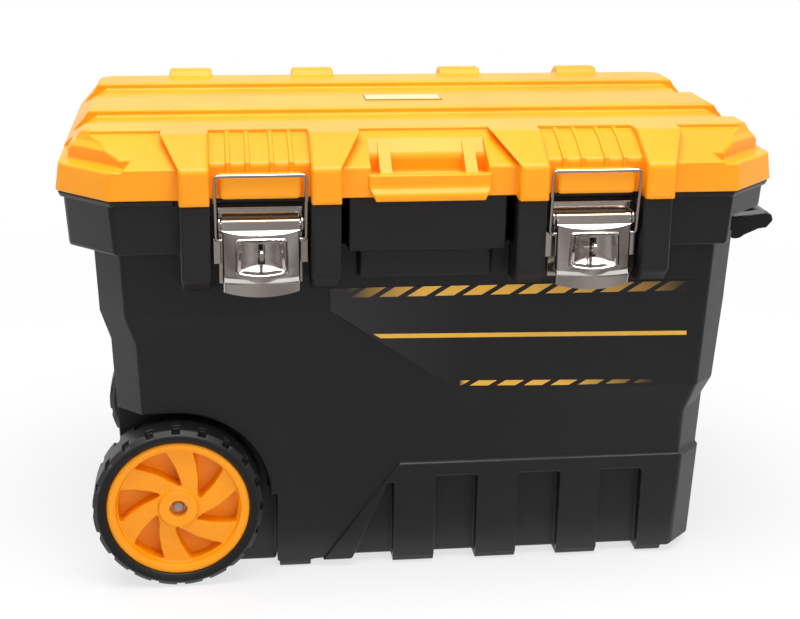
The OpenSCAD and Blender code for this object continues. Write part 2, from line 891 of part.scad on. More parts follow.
module hinge_caps() {
    color(STEEL)
    both_ends()
        difference() {
            rod_x(rod_half - 4.6, rod_half - 1.6, hinge_y, hinge_z, rod_r + 2);
            rod_x(0, rod_half, hinge_y, hinge_z, rod_r + seat_gap);
        }
}

// Puts a latch piece at the left (-1) or the right (1)
module at_latch(side) {
    translate([side * latch_x, 0, 0]) children();
}

module latch_plate(side) {
    color(STEEL)
    at_latch(side)
    difference() {
        union() {
            block([-plate_half, latch_wall_y - plate_t, plate_foot], [plate_half, latch_wall_y, plate_top]);
            block([-plate_half, latch_wall_y - 6, plate_top - plate_t], [plate_half, latch_wall_y, plate_top]);
            both_ends() {
                block([ear_x, pin_y, pin_z - ear_r], [plate_half, latch_wall_y, pin_z + ear_r]);
                rod_x(ear_x, plate_half, pin_y, pin_z, ear_r);
                block([ear_x, latch_wall_y - wing_out, wing_foot], [plate_half, latch_wall_y, wing_top]);
                block(
                    [ear_x, latch_wall_y - wing_out, wing_foot],
                    [wing_half, latch_wall_y - wing_out + plate_t, wing_top]
                );
            }
        }
        rod_x(-far, far, pin_y, pin_z, pin_r + seat_gap);
        for (s = rivet_spots)
            rod_y(s[0], -far, far, s[1], rivet_r + seat_gap);
    }
}

module latch_rivets(side) {
    color(STEEL)
    at_latch(side)
    for (s = rivet_spots) {
        rod_y(s[0], latch_wall_y - plate_t, latch_wall_y + wall, s[1], rivet_r);
        rod_y(s[0], latch_wall_y - plate_t - rivet_head_t, latch_wall_y - plate_t, s[1], rivet_head_r);
    }
}

module lever_pin(side) {
    color(STEEL)
    at_latch(side)
    rod_x(-plate_half - 0.5, plate_half + 0.5, pin_y, pin_z, pin_r);
}

module padlock_staple(side) {
    color(STEEL)
    at_latch(side)
    difference() {
        union() {
            block([-8, latch_wall_y - plate_t - 1.5, staple_foot - 4], [8, latch_wall_y - plate_t, staple_top + 4]);
            block([-staple_t / 2, eye_y, staple_foot], [staple_t / 2, latch_wall_y - plate_t, staple_top]);
            rod_x(-staple_t / 2, staple_t / 2, eye_y, eye_z, eye_r);
        }
        rod_x(-far, far, eye_y, eye_z, shackle_d / 2);
    }
}

// Space in front of the lever's face at its rounded dish; grow adds the sheet behind it
module lever_dish(grow) {
    lip = dish_r - dish_deep;
    translate([0, dish_y - dish_r, 0])
        rotate_extrude()
            polygon([
                [0, dish_foot - grow], [lip + grow, dish_foot - grow], [dish_r + grow, dish_foot + dish_sill],
                [dish_r + grow, dish_top - dish_brow], [lip + grow, dish_top + grow], [0, dish_top + grow]
            ]);
}

// Everything above the slope that runs down from the straight crease to the bowed face
module above_crease(drop) {
    front = lever_y - 3 * lever_bow;
    back = lever_y + 2 * lever_t;
    along_x(-far, far)
        polygon([
            [front, crease_z - drop + crease_slope * (front - lever_y)],
            [back, crease_z - drop + crease_slope * (back - lever_y)], [back, pin_z + roll_r], [front, pin_z + roll_r]
        ]);
}

// Bowed sheet of the lever's face, with a ridge and a turned-in foot, and the dish behind it
module lever_face() {
    turn = asin(lever_half / bow_r) + 6;
    side = [for (p = [[0, crease_z], [0, band_z], [ridge_out, ridge_z], [-1, lever_foot - 1]]) [bow_r + p[0], p[1]]];
    foot_r = (lever_half ^ 2 + foot_bow ^ 2) / (2 * foot_bow);
    intersection() {
        translate([0, bow_y, 0])
            rotate([0, 0, -90 - turn])
                rotate_extrude(angle = 2 * turn)
                    polygon(concat(side, [for (i = [3:-1:0]) side[i] - [lever_t, 0]]));
        block([-lever_half, -far, 0], [lever_half, far, far]);
        rod_y(0, -far, far, lever_foot + foot_r, foot_r);
    }
    intersection() {
        lever_dish(lever_t);
        translate([0, bow_y, 0]) cylinder(r = bow_r - eps, h = far);
        block([-dish_half - lever_t, -far, 0], [dish_half + lever_t, far, far]);
    }
}

module latch_lever(side) {
    color(STEEL)
    at_latch(side)
    difference() {
        union() {
            rod_x(-lever_half, lever_half, pin_y, pin_z, roll_r);
            along_x(-lever_half, lever_half)
                polygon([
                    [pin_y - 4, pin_z + 3.4], [lever_y + 1, pin_z + 1], [lever_y, crease_z],
                    [lever_y + lever_t, crease_z - lever_t], [pin_y - 3, pin_z - 3]
                ]);
            difference() {
                lever_face();
                above_crease(0);
            }
            intersection() {
                translate([0, bow_y, 0]) cylinder(r = bow_r - eps, h = far);
                block([-lever_half, -far, 0], [lever_half, lever_y + 1, far]);
                difference() {
                    above_crease(lever_t);
                    above_crease(0);
                }
            }
            both_ends()
                along_x(lever_half - flange_t, lever_half)
                    polygon([
                        [lever_y + 1, pin_z], [pin_y + 4, pin_z], [pin_y + 4, hook_z - 7], [lever_y + 1, band_z]
                    ]);
        }
        rod_x(-far, far, pin_y, pin_z, pin_r + run_gap);
        rod_x(-far, far, hook_y, hook_z, wire_r + run_gap);
        lever_dish(0);
        block([-staple_t / 2 - 1.2, -far, slot_foot], [staple_t / 2 + 1.2, dish_y + lever_t + 1, slot_top]);
    }
}

// Quarter bend of the bail's wire in X and Z, from the leg into the bar
module wire_bend() {
    rotate([90, 0, 0]) rotate_extrude(angle = 90) translate([bail_bend, 0]) circle(r = wire_r);
}

// Bent wire: a bar, two legs and two hooks that turn in the lever's flanges
module latch_bail(side) {
    lean = atan2(hook_y - bar_y, bail_rise);
    leg = norm([bail_rise, hook_y - bar_y]);
    straight = bail_half - bail_bend;
    color(STEEL)
    at_latch(side)
    translate([0, hook_y, hook_z])
    rotate([lean, 0, 0]) {
        rod_x(-straight, straight, 0, leg, wire_r);
        both_ends() {
            translate([bail_half, 0, bail_bend]) cylinder(r = wire_r, h = leg - 2 * bail_bend);
            translate([straight, 0, leg - bail_bend]) wire_bend();
            translate([straight, 0, bail_bend]) mirror([0, 0, 1]) wire_bend();
            rod_x(lever_half - flange_t - 1.5, straight, 0, 0, wire_r);
        }
    }
}

module axle() {
    color(STEEL) rod_y(axle_x, -(hub_face - 4), hub_face - 4, axle_z, axle_r);
}

module axle_washers() {
    color(STEEL)
    both_sides()
        difference() {
            rod_y(axle_x, -(well_y + washer_t), -well_y, axle_z, axle_r + 6);
            rod_y(axle_x, -far, far, axle_z, axle_r + seat_gap);
        }
}

module axle_clips() {
    color(STEEL)
    both_sides()
        difference() {
            rod_y(axle_x, -(hub_face - counterbore + 0.3 + clip_t), -(hub_face - counterbore + 0.3), axle_z, clip_r);
            rod_y(axle_x, -far, far, axle_z, axle_r + seat_gap);
        }
}

// Outline of one pocket between two curved spokes: a bent wedge with its tip at the hub
module spoke_pocket() {
    r0 = hub_r + 2;
    r1 = rim_r - 10;
    steps = 8;
    share = 360 / spokes;
    lead = 0.38;
    trail = 0.95;
    // Place on the pocket's edge at a part of the way from hub to rim
    function edge(t, turn, bend) =
        let (r = r0 + (r1 - r0) * t, a = share * turn * pow(t, bend))
        [r * cos(a), r * sin(a)];
    polygon(concat(
        [for (i = [0:steps]) edge(i / steps, lead, 0.7)],
        [for (i = [1:3]) edge(1, lead + (trail - lead) * i / 4, 1)],
        [for (i = [steps:-1:1]) edge(i / steps, trail, 0.42)]
    ));
}

// Wheel about the Z axis, outer face upwards from its back at Z = 0
module rim_solid() {
    web = 8;
    face = hub_face - wheel_back;
    difference() {
        rotate_extrude()
            polygon([
                [axle_r + run_gap, 1], [hub_r, 1], [hub_r, 14], [rim_r - 9, 14], [rim_r - 6, 4], [rim_r, 4],
                [rim_r, wheel_w - 4], [rim_r - 3, wheel_w - 2], [rim_r - 8, wheel_w - 4], [rim_r - 9, face - 6],
                [hub_r + 1, face - 4], [hub_r, face], [clip_r + 0.4, face], [clip_r + 0.4, face - counterbore],
                [axle_r + run_gap, face - counterbore]
            ]);
        for (i = [0:spokes - 1])
            rotate([0, 0, spoke_turn + i * 360 / spokes])
                translate([0, 0, 14 + web])
                    linear_extrude(wheel_w) spoke_pocket();
    }
}

// Tyre with a row of notches in each shoulder of its tread, staggered by half a pitch
module tyre_solid() {
    round_r = 5;
    pitch = 360 / tread_lugs;
    difference() {
        rotate_extrude()
            polygon([
                [rim_r, 3], [rim_r + 4, 0.5], [wheel_r - round_r, 0], [wheel_r, round_r],
                [wheel_r, wheel_w - round_r], [wheel_r - round_r, wheel_w], [rim_r + 4, wheel_w - 0.5],
                [rim_r, wheel_w - 3]
            ]);
        for (i = [0:tread_lugs - 1]) {
            rotate([0, 0, i * pitch]) tread_notch(wheel_w - tread_reach);
            rotate([0, 0, (i + 0.5) * pitch]) tread_notch(tread_reach - wheel_w);
        }
    }
}

module tread_notch(z) {
    translate([wheel_r - tread_depth, -tread_gap / 2, z]) cube([tread_depth + 1, tread_gap, wheel_w]);
}

// Stands a wheel piece at the front (-1) or the rear (1)
module at_wheel(side) {
    if (side < 0)
        translate([axle_x, -wheel_back, axle_z]) rotate([90, 0, 0]) children();
    else
        translate([axle_x, wheel_back, axle_z]) rotate([-90, 0, 0]) children();
}

module wheel_rim(side) {
    color(ORANGE) at_wheel(side) rim_solid();
}

module tyre(side) {
    color(RUBBER) at_wheel(side) tyre_solid();
}

module tow_handle() {
    half = handle_len / 2;
    tip = handle_x + handle_reach;
    bar_r = handle_bar_d / 2;
    low = handle_z - handle_arm_h / 2;
    high = handle_z + handle_arm_h / 2;
    bar_z = handle_z + 6;
    color(BLACK)
    difference() {
        union() {
            rod_y(tip, -half + bar_r, half - bar_r, bar_z, bar_r);
            both_sides() {
                along_y(-half, -half + handle_arm_t)
                    polygon([
                        [handle_x, low], [tip - 6, bar_z - bar_r], [tip + 2, bar_z - bar_r + 1],
                        [tip + bar_r, bar_z], [tip + bar_r - 2, bar_z + bar_r - 2],
                        [tip, bar_z + bar_r], [handle_x, high]
                    ]);
                rod_y(handle_x, -half, -half + handle_arm_t, handle_z, handle_arm_h / 2);
            }
        }
        both_sides() rod_y(handle_x, -half + handle_cover, 0, handle_z, handle_pin_r + run_gap);
    }
}

module handle_pins() {
    color(STEEL)
    both_sides()
        rod_y(handle_x, -handle_len / 2 + handle_cover + pass_gap, -(lug_outer - lug_len), handle_z, handle_pin_r);
}

// Bare label on the slope of the upper front wall
module front_label() {
    foot_z = step_right_z + step_band + 4;
    head_z = collar_z - 38;
    x0 = slant_x0 + 7;
    x1 = up_w(foot_z) - wall_corner - 6;
    bend_z = step_left_z + step_band + 2;
    lean = atan(draft);
    color("#1C1C1E")
    translate([0, -up_d(foot_z), foot_z])
        rotate([90 + lean, 0, 0])
            linear_extrude(label_t)
                polygon([
                    [x0 + (bend_z - foot_z) / slant_fall, 0], [x1, 0], [x1, head_z - foot_z],
                    [x0, head_z - foot_z], [x0, bend_z - foot_z]
                ]);
}

module lid_nameplate() {
    back = groove_b0 - 4;
    color(BLACK)
    block([-nameplate_w / 2, back - nameplate_d, top_z], [nameplate_w / 2, back, top_z + nameplate_t]);
}

tub();
lid();
hinge_rod();
hinge_caps();
latch_plate(-1);  // latch_plate_left
latch_plate(1);  // latch_plate_right
latch_rivets(-1);  // latch_rivets_left
latch_rivets(1);  // latch_rivets_right
lever_pin(-1);  // lever_pin_left
lever_pin(1);  // lever_pin_right
padlock_staple(-1);  // padlock_staple_left
padlock_staple(1);  // padlock_staple_right
latch_lever(-1);  // latch_lever_left
latch_lever(1);  // latch_lever_right
latch_bail(-1);  // latch_bail_left
latch_bail(1);  // latch_bail_right
axle();
axle_washers();
axle_clips();
wheel_rim(-1);  // wheel_rim_front
wheel_rim(1);  // wheel_rim_rear
tyre(-1);  // tyre_front
tyre(1);  // tyre_rear
tow_handle();
handle_pins();
front_label();
lid_nameplate();
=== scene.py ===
import json
import math

import bmesh
import bpy
from mathutils import Matrix, Vector
from mathutils.geometry import intersect_point_line


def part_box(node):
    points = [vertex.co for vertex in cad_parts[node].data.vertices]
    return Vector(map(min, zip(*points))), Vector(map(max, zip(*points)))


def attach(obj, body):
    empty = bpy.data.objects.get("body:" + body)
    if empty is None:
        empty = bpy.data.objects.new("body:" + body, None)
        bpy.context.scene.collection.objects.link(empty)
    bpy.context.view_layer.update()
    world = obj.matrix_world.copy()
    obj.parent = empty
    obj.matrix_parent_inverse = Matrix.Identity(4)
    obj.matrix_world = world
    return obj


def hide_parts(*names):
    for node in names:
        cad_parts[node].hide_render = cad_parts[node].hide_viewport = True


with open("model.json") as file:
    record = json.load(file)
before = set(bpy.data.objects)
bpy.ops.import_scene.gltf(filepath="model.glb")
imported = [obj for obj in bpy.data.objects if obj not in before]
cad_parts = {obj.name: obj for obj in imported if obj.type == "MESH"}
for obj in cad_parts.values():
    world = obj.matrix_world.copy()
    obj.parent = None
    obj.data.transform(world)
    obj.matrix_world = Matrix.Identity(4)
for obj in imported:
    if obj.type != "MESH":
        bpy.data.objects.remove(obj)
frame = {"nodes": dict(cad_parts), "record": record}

bl_info = {
    "name": "Rolling toolbox",
    "version": (1, 0, 0),
    "blender": (4, 5, 0),
    "location": "3D View > Sidebar > Toolbox",
    "description": "Rounds, finishes and stages a rolling plastic toolbox around its solids",
    "category": "Object",
}

MM = 0.001
NODES = frame["nodes"]
BODIES = frame["record"]["behaviour"]["bodies"]
BODY_OF = {node: body for body, nodes in BODIES.items() for node in nodes}
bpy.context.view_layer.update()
SIDES = ("left", "right")
AXLE_ENDS = ("front", "rear")

# Copies of the CAD meshes: points this close are joined, faces this flat become one,
# and a length under the last counts as touching
MERGE = 0.01 * MM
FLAT_ANGLE = math.radians(0.3)
TOUCH = 0.001 * MM

# Rounds: the angle from which an edge gets one, the share of the room beside it that it may take,
# the room in metres where nothing limits it, and the least round that is made
SHARP_ANGLE = math.radians(20)
ROOM_SHARE = 0.42
MOST_ROOM = 1.0
LEAST_ROUND = 0.08 * MM
# Shape of the round, a plain arc, and how close its points are before they are joined
ROUND_PROFILE = 0.5
WELD = 0.005 * MM
# Part of its length by which a rounded neighbour leans into a face before it limits the round
LEAN = 0.2
# Stretches where two edges of a face lie opposite each other count from this length
OPPOSITE = 0.02 * MM
# Least divisors for a corner's move: at a sharp corner, and towards an edge that it hardly nears
CORNER_LEAST = 0.2
NEARING_LEAST = 0.3
# Evening out of the radius along a run of edges: most passes, and the ratio that counts as even
RUN_PASSES = 80
RUN_EVEN = 1.001
# Smaller round beside bores and knuckles, and how far from the hinge rod and the axle it holds
TIGHT_ROUND = 0.4 * MM
TIGHT_REACH = 12 * MM
LABEL_ROUND = 0.1 * MM

# Smoothing of the wheel rims' skin, and the share of its faces that is kept
SKIN_PASSES = 6
SKIN_PULL = 0.5
SKIN_SHARE = 0.5

# Pressed lever: counts of grid columns, and of rows in the roll, the crescent and the face
LEVER_COLUMNS = 108
LEVER_ROLL = 22
LEVER_CRESCENT = 9
LEVER_FACE = 92
# Smoothing of the grid, and the angle from which its edges stay sharp
LEVER_SMOOTH = 0.5
LEVER_SHARP = math.radians(35)
# Roll round the pin, in degrees from straight back over the top, and the crease below the pin
ROLL_START = -60
ROLL_SWEEP = 215
CREASE = 3.7 * MM
# Bow of the face: how far its arc runs past the sides, and the share of it at the crescent
BOW_MARGIN = 1.5 * MM
BROW_SHARE = 0.57
# Foot, turned side edges, and the ridge across the lower end, with depths below the pin
LEVER_LENGTH = 59.5 * MM
LEVER_FOOT_BOW = 3.5 * MM
LEVER_TURN = 1.2 * MM
BAND_TOP = 43 * MM
BAND_FOOT = 47.5 * MM
RIDGE = 3 * MM
RIDGE_TOE = 1 * MM
# Dish: depths below the pin, run of its sloped ends, steepness of its sides, blends and lip
DISH_TOP = 9.8 * MM
DISH_FOOT = 41.2 * MM
DISH_SILL = 8.5 * MM
DISH_BROW = 4 * MM
DISH_SIDE = 2.2
DISH_BLEND = 2.5 * MM
FACE_BLEND = 1.2 * MM
DISH_LIP = 1.5 * MM
DISH_LIP_REACH = 3.2 * MM
# Slot for the staple
SLOT_HALF = 2.7 * MM
SLOT_TOP = 16 * MM
SLOT_FOOT = 33 * MM
# Side flanges: thickness, place behind the face and the pin, and depths of the heel and the foot
FLANGE = 1.5 * MM
FLANGE_INSET = 1 * MM
FLANGE_BACK = 4 * MM
FLANGE_HEEL = 20 * MM
FLANGE_FOOT = 43 * MM

# Plastics: patches of tone with their two shades, patches of gloss, and sharp edges lightened, partly as
# rubbing and partly as a painted highlight
PLASTIC_IOR = 1.49
TONE_PATCH = 90 * MM
TONE_STOPS = (0.3, 0.7)
TONE_SHADES = (0.93, 1.07)
FLOW_PATCH = 7 * MM
GLOSS_SPREAD = 0.05
WEAR_AND_HIGHLIGHT_FROM = 0.51
WEAR_AND_HIGHLIGHT_TO = 0.6
WEAR_AND_HIGHLIGHT_LIFT = 0.05
WEAR_AND_HIGHLIGHT_SHADE = 1.2

# Plated steel: waves from pressing, and the shades and gloss of the polishing haze
PRESS_WAVE = 22 * MM
HAZE_SHADES = (0.92, 1.04)
HAZE_GLOSS = (0.8, 1.25)

# Print on the front label, in millimetres
STRIPE_PITCH = 24.5
STRIPE_SHARE = 0.68
STRIPE_LEAN = 1.6
STRIPE_BANDS = (
    {"foot": 264.0, "slope": -0.003, "height": 8.8, "first": 10.2, "fade": (-66.0, 0.0, 130.0, 236.0)},
    {"foot": 179.6, "slope": -0.0269, "height": 5.0, "first": 43.6, "fade": (34.0, 40.0, 125.0, 212.0)},
)
RULE_Z = 227.2
RULE_SLOPE = -0.0177
RULE_HALF = 2.0
RULE_ENDS = (-40.0, 239.0)
FILM_FADE = (-81.0, 40.0)
FILM_PALE = 2.4

# Films: patches of ink, gloss and ripple, and the line round the nameplate
INK_PATCH = 14 * MM
FILM_GLOSS = (0.26, 0.38)
FILM_RIPPLE = 0.04 * MM
PLATE_PATCH = 12 * MM
PLATE_SHADES = (0.94, 1.03)
PLATE_GLOSS = (0.3, 0.42)
PLATE_LINE = 1.1 * MM
PLATE_INK = "#8A6A2C"

# Camera from the fit of the box's edges: yaw, pitch and roll in radians, place in metres, lens in pixels
CAMERA_TURN = (0.125098, 0.309280, 0.0123461)
CAMERA_PLACE = (-0.1796, -1.4145, 0.6605)
FOCAL_PIXELS = 1542.76
PHOTO_WIDTH = 800
SENSOR = 36.0

# Lamps: place, aim and size in metres, and whether reflections show them
LAMPS = {
    "key": ((-0.1, -0.35, 2.2), (0, 0, 0.3), (2.2, 1.4), True),
    "fill": ((0.9, -2.3, 1.2), (0, 0, 0.2), (1.6, 1.2), False),
}

# Floor: paint, radius and sides of its disc, and the distances between which it turns white, in metres
WHITE = "#FFFFFF"
FLOOR_PAINT = "#E7E7E7"
FLOOR_RADIUS = 4.0
FLOOR_SIDES = 96
FLOOR_FADE = (0.5, 1.3)

# Studio cards that glow with painted light and shade: two tones, the width of a soft fold and its least
# light, and how far from the middle they are dark, in metres
CARD_PAINTED_SHADE = "#4C4040"
CARD_PAINTED_LIGHT = "#B4B0AE"
CARD_FOLD = 0.64
CARD_FOLD_LEAST = 0.5
CARD_FADE = 1.5
# A wave texture of scale 1 has 20 radians in a metre
WAVE_RADIANS = 20.0
# Middles and half sizes of the upright card and of the one on the floor, in metres
FRONT_CARD_PLACE = (0, -1.0, 0.61)
FRONT_CARD_HALF = (2.2, 0.6)
FLOOR_CARD_PLACE = (0, -0.5825, 0.004)
FLOOR_CARD_HALF = (2.2, 0.4175)


def linear(code):
    """Linear colour of an sRGB hex value."""
    parts = [int(code[i:i + 2], 16) / 255 for i in (1, 3, 5)]
    return tuple(p / 12.92 if p <= 0.04045 else ((p + 0.055) / 1.055) ** 2.4 for p in parts)


def length(name, description, millimetres):
    return bpy.props.FloatProperty(
        name=name, description=description, default=millimetres * MM, min=0.0, precision=4, unit="LENGTH"
    )


def colour(name, description, code):
    return bpy.props.FloatVectorProperty(
        name=name, description=description, default=linear(code), min=0.0, max=1.0, size=3, subtype="COLOR"
    )


def power(name, description, watts):
    return bpy.props.FloatProperty(name=name, description=description, default=watts, min=0.0, unit="POWER")


def portion(name, description, value):
    return bpy.props.FloatProperty(
        name=name, description=description, default=value, min=0.0, max=1.0, subtype="FACTOR"
    )


class ToolboxEdges(bpy.types.PropertyGroup):
    """Rounds of the moulded and pressed edges"""

    tub: length("Tub", "Round of the tub's edges", 3.2)
    lid: length("Lid", "Round of the lid's edges", 4.0)
    rim: length("Rim", "Size of the even skin that softens the wheel rims", 1.0)
    tyre: length("Tyre", "Round of the tyres' edges", 1.0)
    handle: length("Tow handle", "Round of the tow handle's edges", 2.6)
    sheet: length("Sheet steel", "Round of the pressed latch pieces", 0.5)
    turned: length("Turned steel", "Round of pins, rods and rivets", 0.6)
    axle: length("Axle", "Round of the axle's domed ends", 2.2)


class ToolboxLever(bpy.types.PropertyGroup):
    """Pressed form of the latch levers"""

    half: length("Half width", "Half width of the lever", 32.0)
    sheet: length("Sheet", "Thickness of the pressed sheet", 1.8)
    out: length("Reach", "Distance of the face's sides from the lever pin", 7.4)
    bow: length("Bow", "How far the face bows out in the middle", 7.0)
    dish: length("Dish", "Half width of the dish", 20.5)
    deep: length("Dish depth", "Depth of the dish in the middle", 9.0)
    roll: length("Roll", "Outer radius of the roll round the pin", 5.4)


class ToolboxFinish(bpy.types.PropertyGroup):
    """Colours of the finishes"""

    tub: colour("Tub", "Black moulded polypropylene", "#1B1B1D")
    lid: colour("Lid", "Orange moulded polypropylene", "#FF9D06")
    handle: colour("Tow handle", "Gloss black moulded nylon", "#161617")
    tyre: colour("Tyre", "Dark grey moulded rubber", "#151517")
    nickel: colour("Nickel", "Bright nickel plate", "#DAD5CF")
    zinc: colour("Zinc", "Zinc plate", "#E6E6E6")
    rod: colour("Hinge rod", "Drawn mild steel", "#7E7F82")
    film: colour("Label film", "Black printed film", "#1C1B1D")
    stripe: colour("Label stripes", "Yellow of the label's stripes", "#E3AC3A")
    plate: colour("Nameplate", "Cream film on the lid", "#D8C48C")


class ToolboxStage(bpy.types.PropertyGroup):
    """Studio light around the toolbox"""

    key: power("Key", "Power of the overhead soft light", 58.0)
    fill: power("Fill", "Power of the front soft light", 14.0)
    world: portion("World", "Level of the surrounding white light", 0.5)
    floor: portion("Floor", "Share of plain white in the floor beside the box", 0.7)


# Meshes


def merged_copy(node):
    """Copy of a CAD node's mesh with its loose triangles joined."""
    bm = bmesh.new()
    bm.from_mesh(NODES[node].data)
    bmesh.ops.remove_doubles(bm, verts=bm.verts, dist=MERGE)
    return bm


def made_object(bm, name, material):
    """Object in the scene from a finished bmesh and its one material."""
    mesh = bpy.data.meshes.new(name)
    bm.to_mesh(mesh)
    bm.free()
    mesh.materials.append(material)
    made = bpy.data.objects.new(name, mesh)
    bpy.context.scene.collection.objects.link(made)
    return made


def share_out(edge, face, chosen):
    """How far a round along an edge may reach across one of its faces."""
    loop = next(l for l in edge.link_loops if l.face is face)
    before, after = loop.link_loop_prev, loop.link_loop_next
    start = loop.vert.co
    along = after.vert.co - start
    span = along.length
    along.normalize()
    inward = face.normal.cross(along)
    room = MOST_ROOM
    for beside, end in ((before.edge, before.vert.co - start),
                        (after.edge, after.link_loop_next.vert.co - after.vert.co)):
        reach = end.dot(inward)
        if reach > (LEAN * end.length if beside in chosen else 0.0):
            room = min(room, reach)
    for other in face.loops:
        if other in (loop, before, after):
            continue
        a = other.vert.co - start
        b = other.link_loop_next.vert.co - start
        ua, ub = a.dot(along), b.dot(along)
        va, vb = a.dot(inward), b.dot(inward)
        low, high = max(min(ua, ub), 0.0), min(max(ua, ub), span)
        if high - low < OPPOSITE:
            continue
        for place in (low, high):
            depth = va + (vb - va) * (place - ua) / (ub - ua)
            if depth > TOUCH:
                room = min(room, depth)
    return room


def corner_share(loop):
    """How large a round may be before a face's corner, moved in by it, meets the face's other edges."""
    here = loop.vert.co
    before = loop.face.normal.cross((here - loop.link_loop_prev.vert.co).normalized())
    after = loop.face.normal.cross((loop.link_loop_next.vert.co - here).normalized())
    move = (before + after) / max(1 + before.dot(after), CORNER_LEAST)
    room = MOST_ROOM
    for other in loop.face.loops:
        if loop.vert in other.edge.verts:
            continue
        a, b = other.vert.co, other.link_loop_next.vert.co
        part = intersect_point_line(here, a, b)[1]
        away = a.lerp(b, min(max(part, 0.0), 1.0)) - here
        room = min(room, away.length / max(move.dot(away.normalized()), NEARING_LEAST))
    return room


def own_share(edge, chosen):
    """How large a round may be before the rounds at an edge's two ends use the edge up."""
    room = MOST_ROOM
    for loop in edge.link_loops:
        before, after = loop.link_loop_prev, loop.link_loop_next
        along = (after.vert.co - loop.vert.co).normalized()
        inward = loop.face.normal.cross(along)
        for beside, away, inner in (
            (before, before.vert.co - loop.vert.co, along),
            (after, after.link_loop_next.vert.co - after.vert.co, -along),
        ):
            if beside.edge in chosen and away.dot(inward) > LEAN * away.length:
                room = min(room, edge.calc_length() * math.tan(inner.angle(away) / 2))
    return room


def fair_radii(bm, chosen, radius, tight, halved):
    """Radius of each chosen edge: what its faces have room for, and even along each run of edges."""
    radii = {}
    for edge in chosen:
        room = min(own_share(edge, chosen), *(share_out(edge, face, chosen) for face in edge.link_faces))
        if halved:
            corners = [l for loop in edge.link_loops for l in (loop, loop.link_loop_next)]
            room = min(room, *(corner_share(l) for l in corners))
        middle = (edge.verts[0].co + edge.verts[1].co) / 2
        held = any(all(a <= m <= b for a, m, b in zip(low, middle, high)) for low, high in tight)
        radii[edge] = min(TIGHT_ROUND if held else radius, ROOM_SHARE * room)
    meetings = ([e for e in v.link_edges if e in chosen] for v in bm.verts)
    runs = [pair for pair in meetings if len(pair) == 2]
    for _ in range(RUN_PASSES):
        moved = False
        for a, b in runs:
            low = min(radii[a], radii[b])
            if max(radii[a], radii[b]) > low * RUN_EVEN:
                radii[a] = radii[b] = low
                moved = True
        if not moved:
            break
    return radii


def rounded(node, radius, material, segments, tight, halved):
    """Copy of a CAD node with its sharp edges rounded as far as their faces have room.

    A halved copy has a line across its middle, so that no flat face has a hole in it."""
    bm = merged_copy(node)
    weight = bm.edges.layers.float.new("bevel_weight_edge")
    if halved:
        cut = bmesh.ops.bisect_plane(bm, geom=bm.verts[:] + bm.edges[:] + bm.faces[:], dist=TOUCH,
                                     plane_co=(0, 0, 0), plane_no=(1, 0, 0))
        for part in cut["geom_cut"]:
            if isinstance(part, bmesh.types.BMEdge):
                part.seam = True
    bmesh.ops.dissolve_limit(bm, angle_limit=FLAT_ANGLE, verts=bm.verts, edges=bm.edges, delimit={"SEAM"})
    bm.normal_update()
    chosen = {e for e in bm.edges if e.is_manifold and abs(e.calc_face_angle_signed(0)) > SHARP_ANGLE}
    radii = fair_radii(bm, chosen, radius, tight, halved)
    widest = max(radii.values(), default=0.0)
    for edge, r in radii.items():
        edge[weight] = r / widest if r > LEAST_ROUND else 0.0
    for face in bm.faces:
        face.smooth = True
        face.material_index = 0
    piece = made_object(bm, node + "_finished", material)
    piece.data.set_sharp_from_angle(angle=SHARP_ANGLE)
    if widest:
        bevel = piece.modifiers.new("edge_round", "BEVEL")
        bevel.limit_method = "WEIGHT"
        bevel.width = widest
        bevel.segments = segments
        bevel.profile = ROUND_PROFILE
        bevel.use_clamp_overlap = False
        weld = piece.modifiers.new("edge_weld", "WELD")
        weld.merge_threshold = WELD
    piece.modifiers.new("flat_faces", "WEIGHTED_NORMAL").keep_sharp = True
    return piece


def settle(piece, body, node):
    """Puts a finished piece on its body and in place of its CAD node."""
    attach(piece, body)
    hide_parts(node)


def stand_in(node, radius, material, segments=3, tight=(), halved=False):
    """Rounded copy of a node, settled in its place."""
    settle(rounded(node, radius, material, segments, tight, halved), BODY_OF[node], node)


def softened(node, grain, material):
    """Copy of a node under an even skin that rounds every edge, settled in its place."""
    piece = made_object(merged_copy(node), node + "_finished", material)
    skin = piece.modifiers.new("even_skin", "REMESH")
    skin.mode = "VOXEL"
    skin.voxel_size = grain
    skin.use_smooth_shade = True
    soft = piece.modifiers.new("soft_edges", "SMOOTH")
    soft.factor = SKIN_PULL
    soft.iterations = SKIN_PASSES
    piece.modifiers.new("fewer_faces", "DECIMATE").ratio = SKIN_SHARE
    settle(piece, BODY_OF[node], node)


def soft_least(a, b, reach):
    """Smaller of two lengths, with a round of about this reach where they cross."""
    blend = max(reach - abs(a - b), 0.0) / reach
    return min(a, b) - blend * blend * reach / 4


def arc_radius(half, rise):
    """Radius of an arc from half its width and its rise."""
    return (half ** 2 + rise ** 2) / (2 * rise)


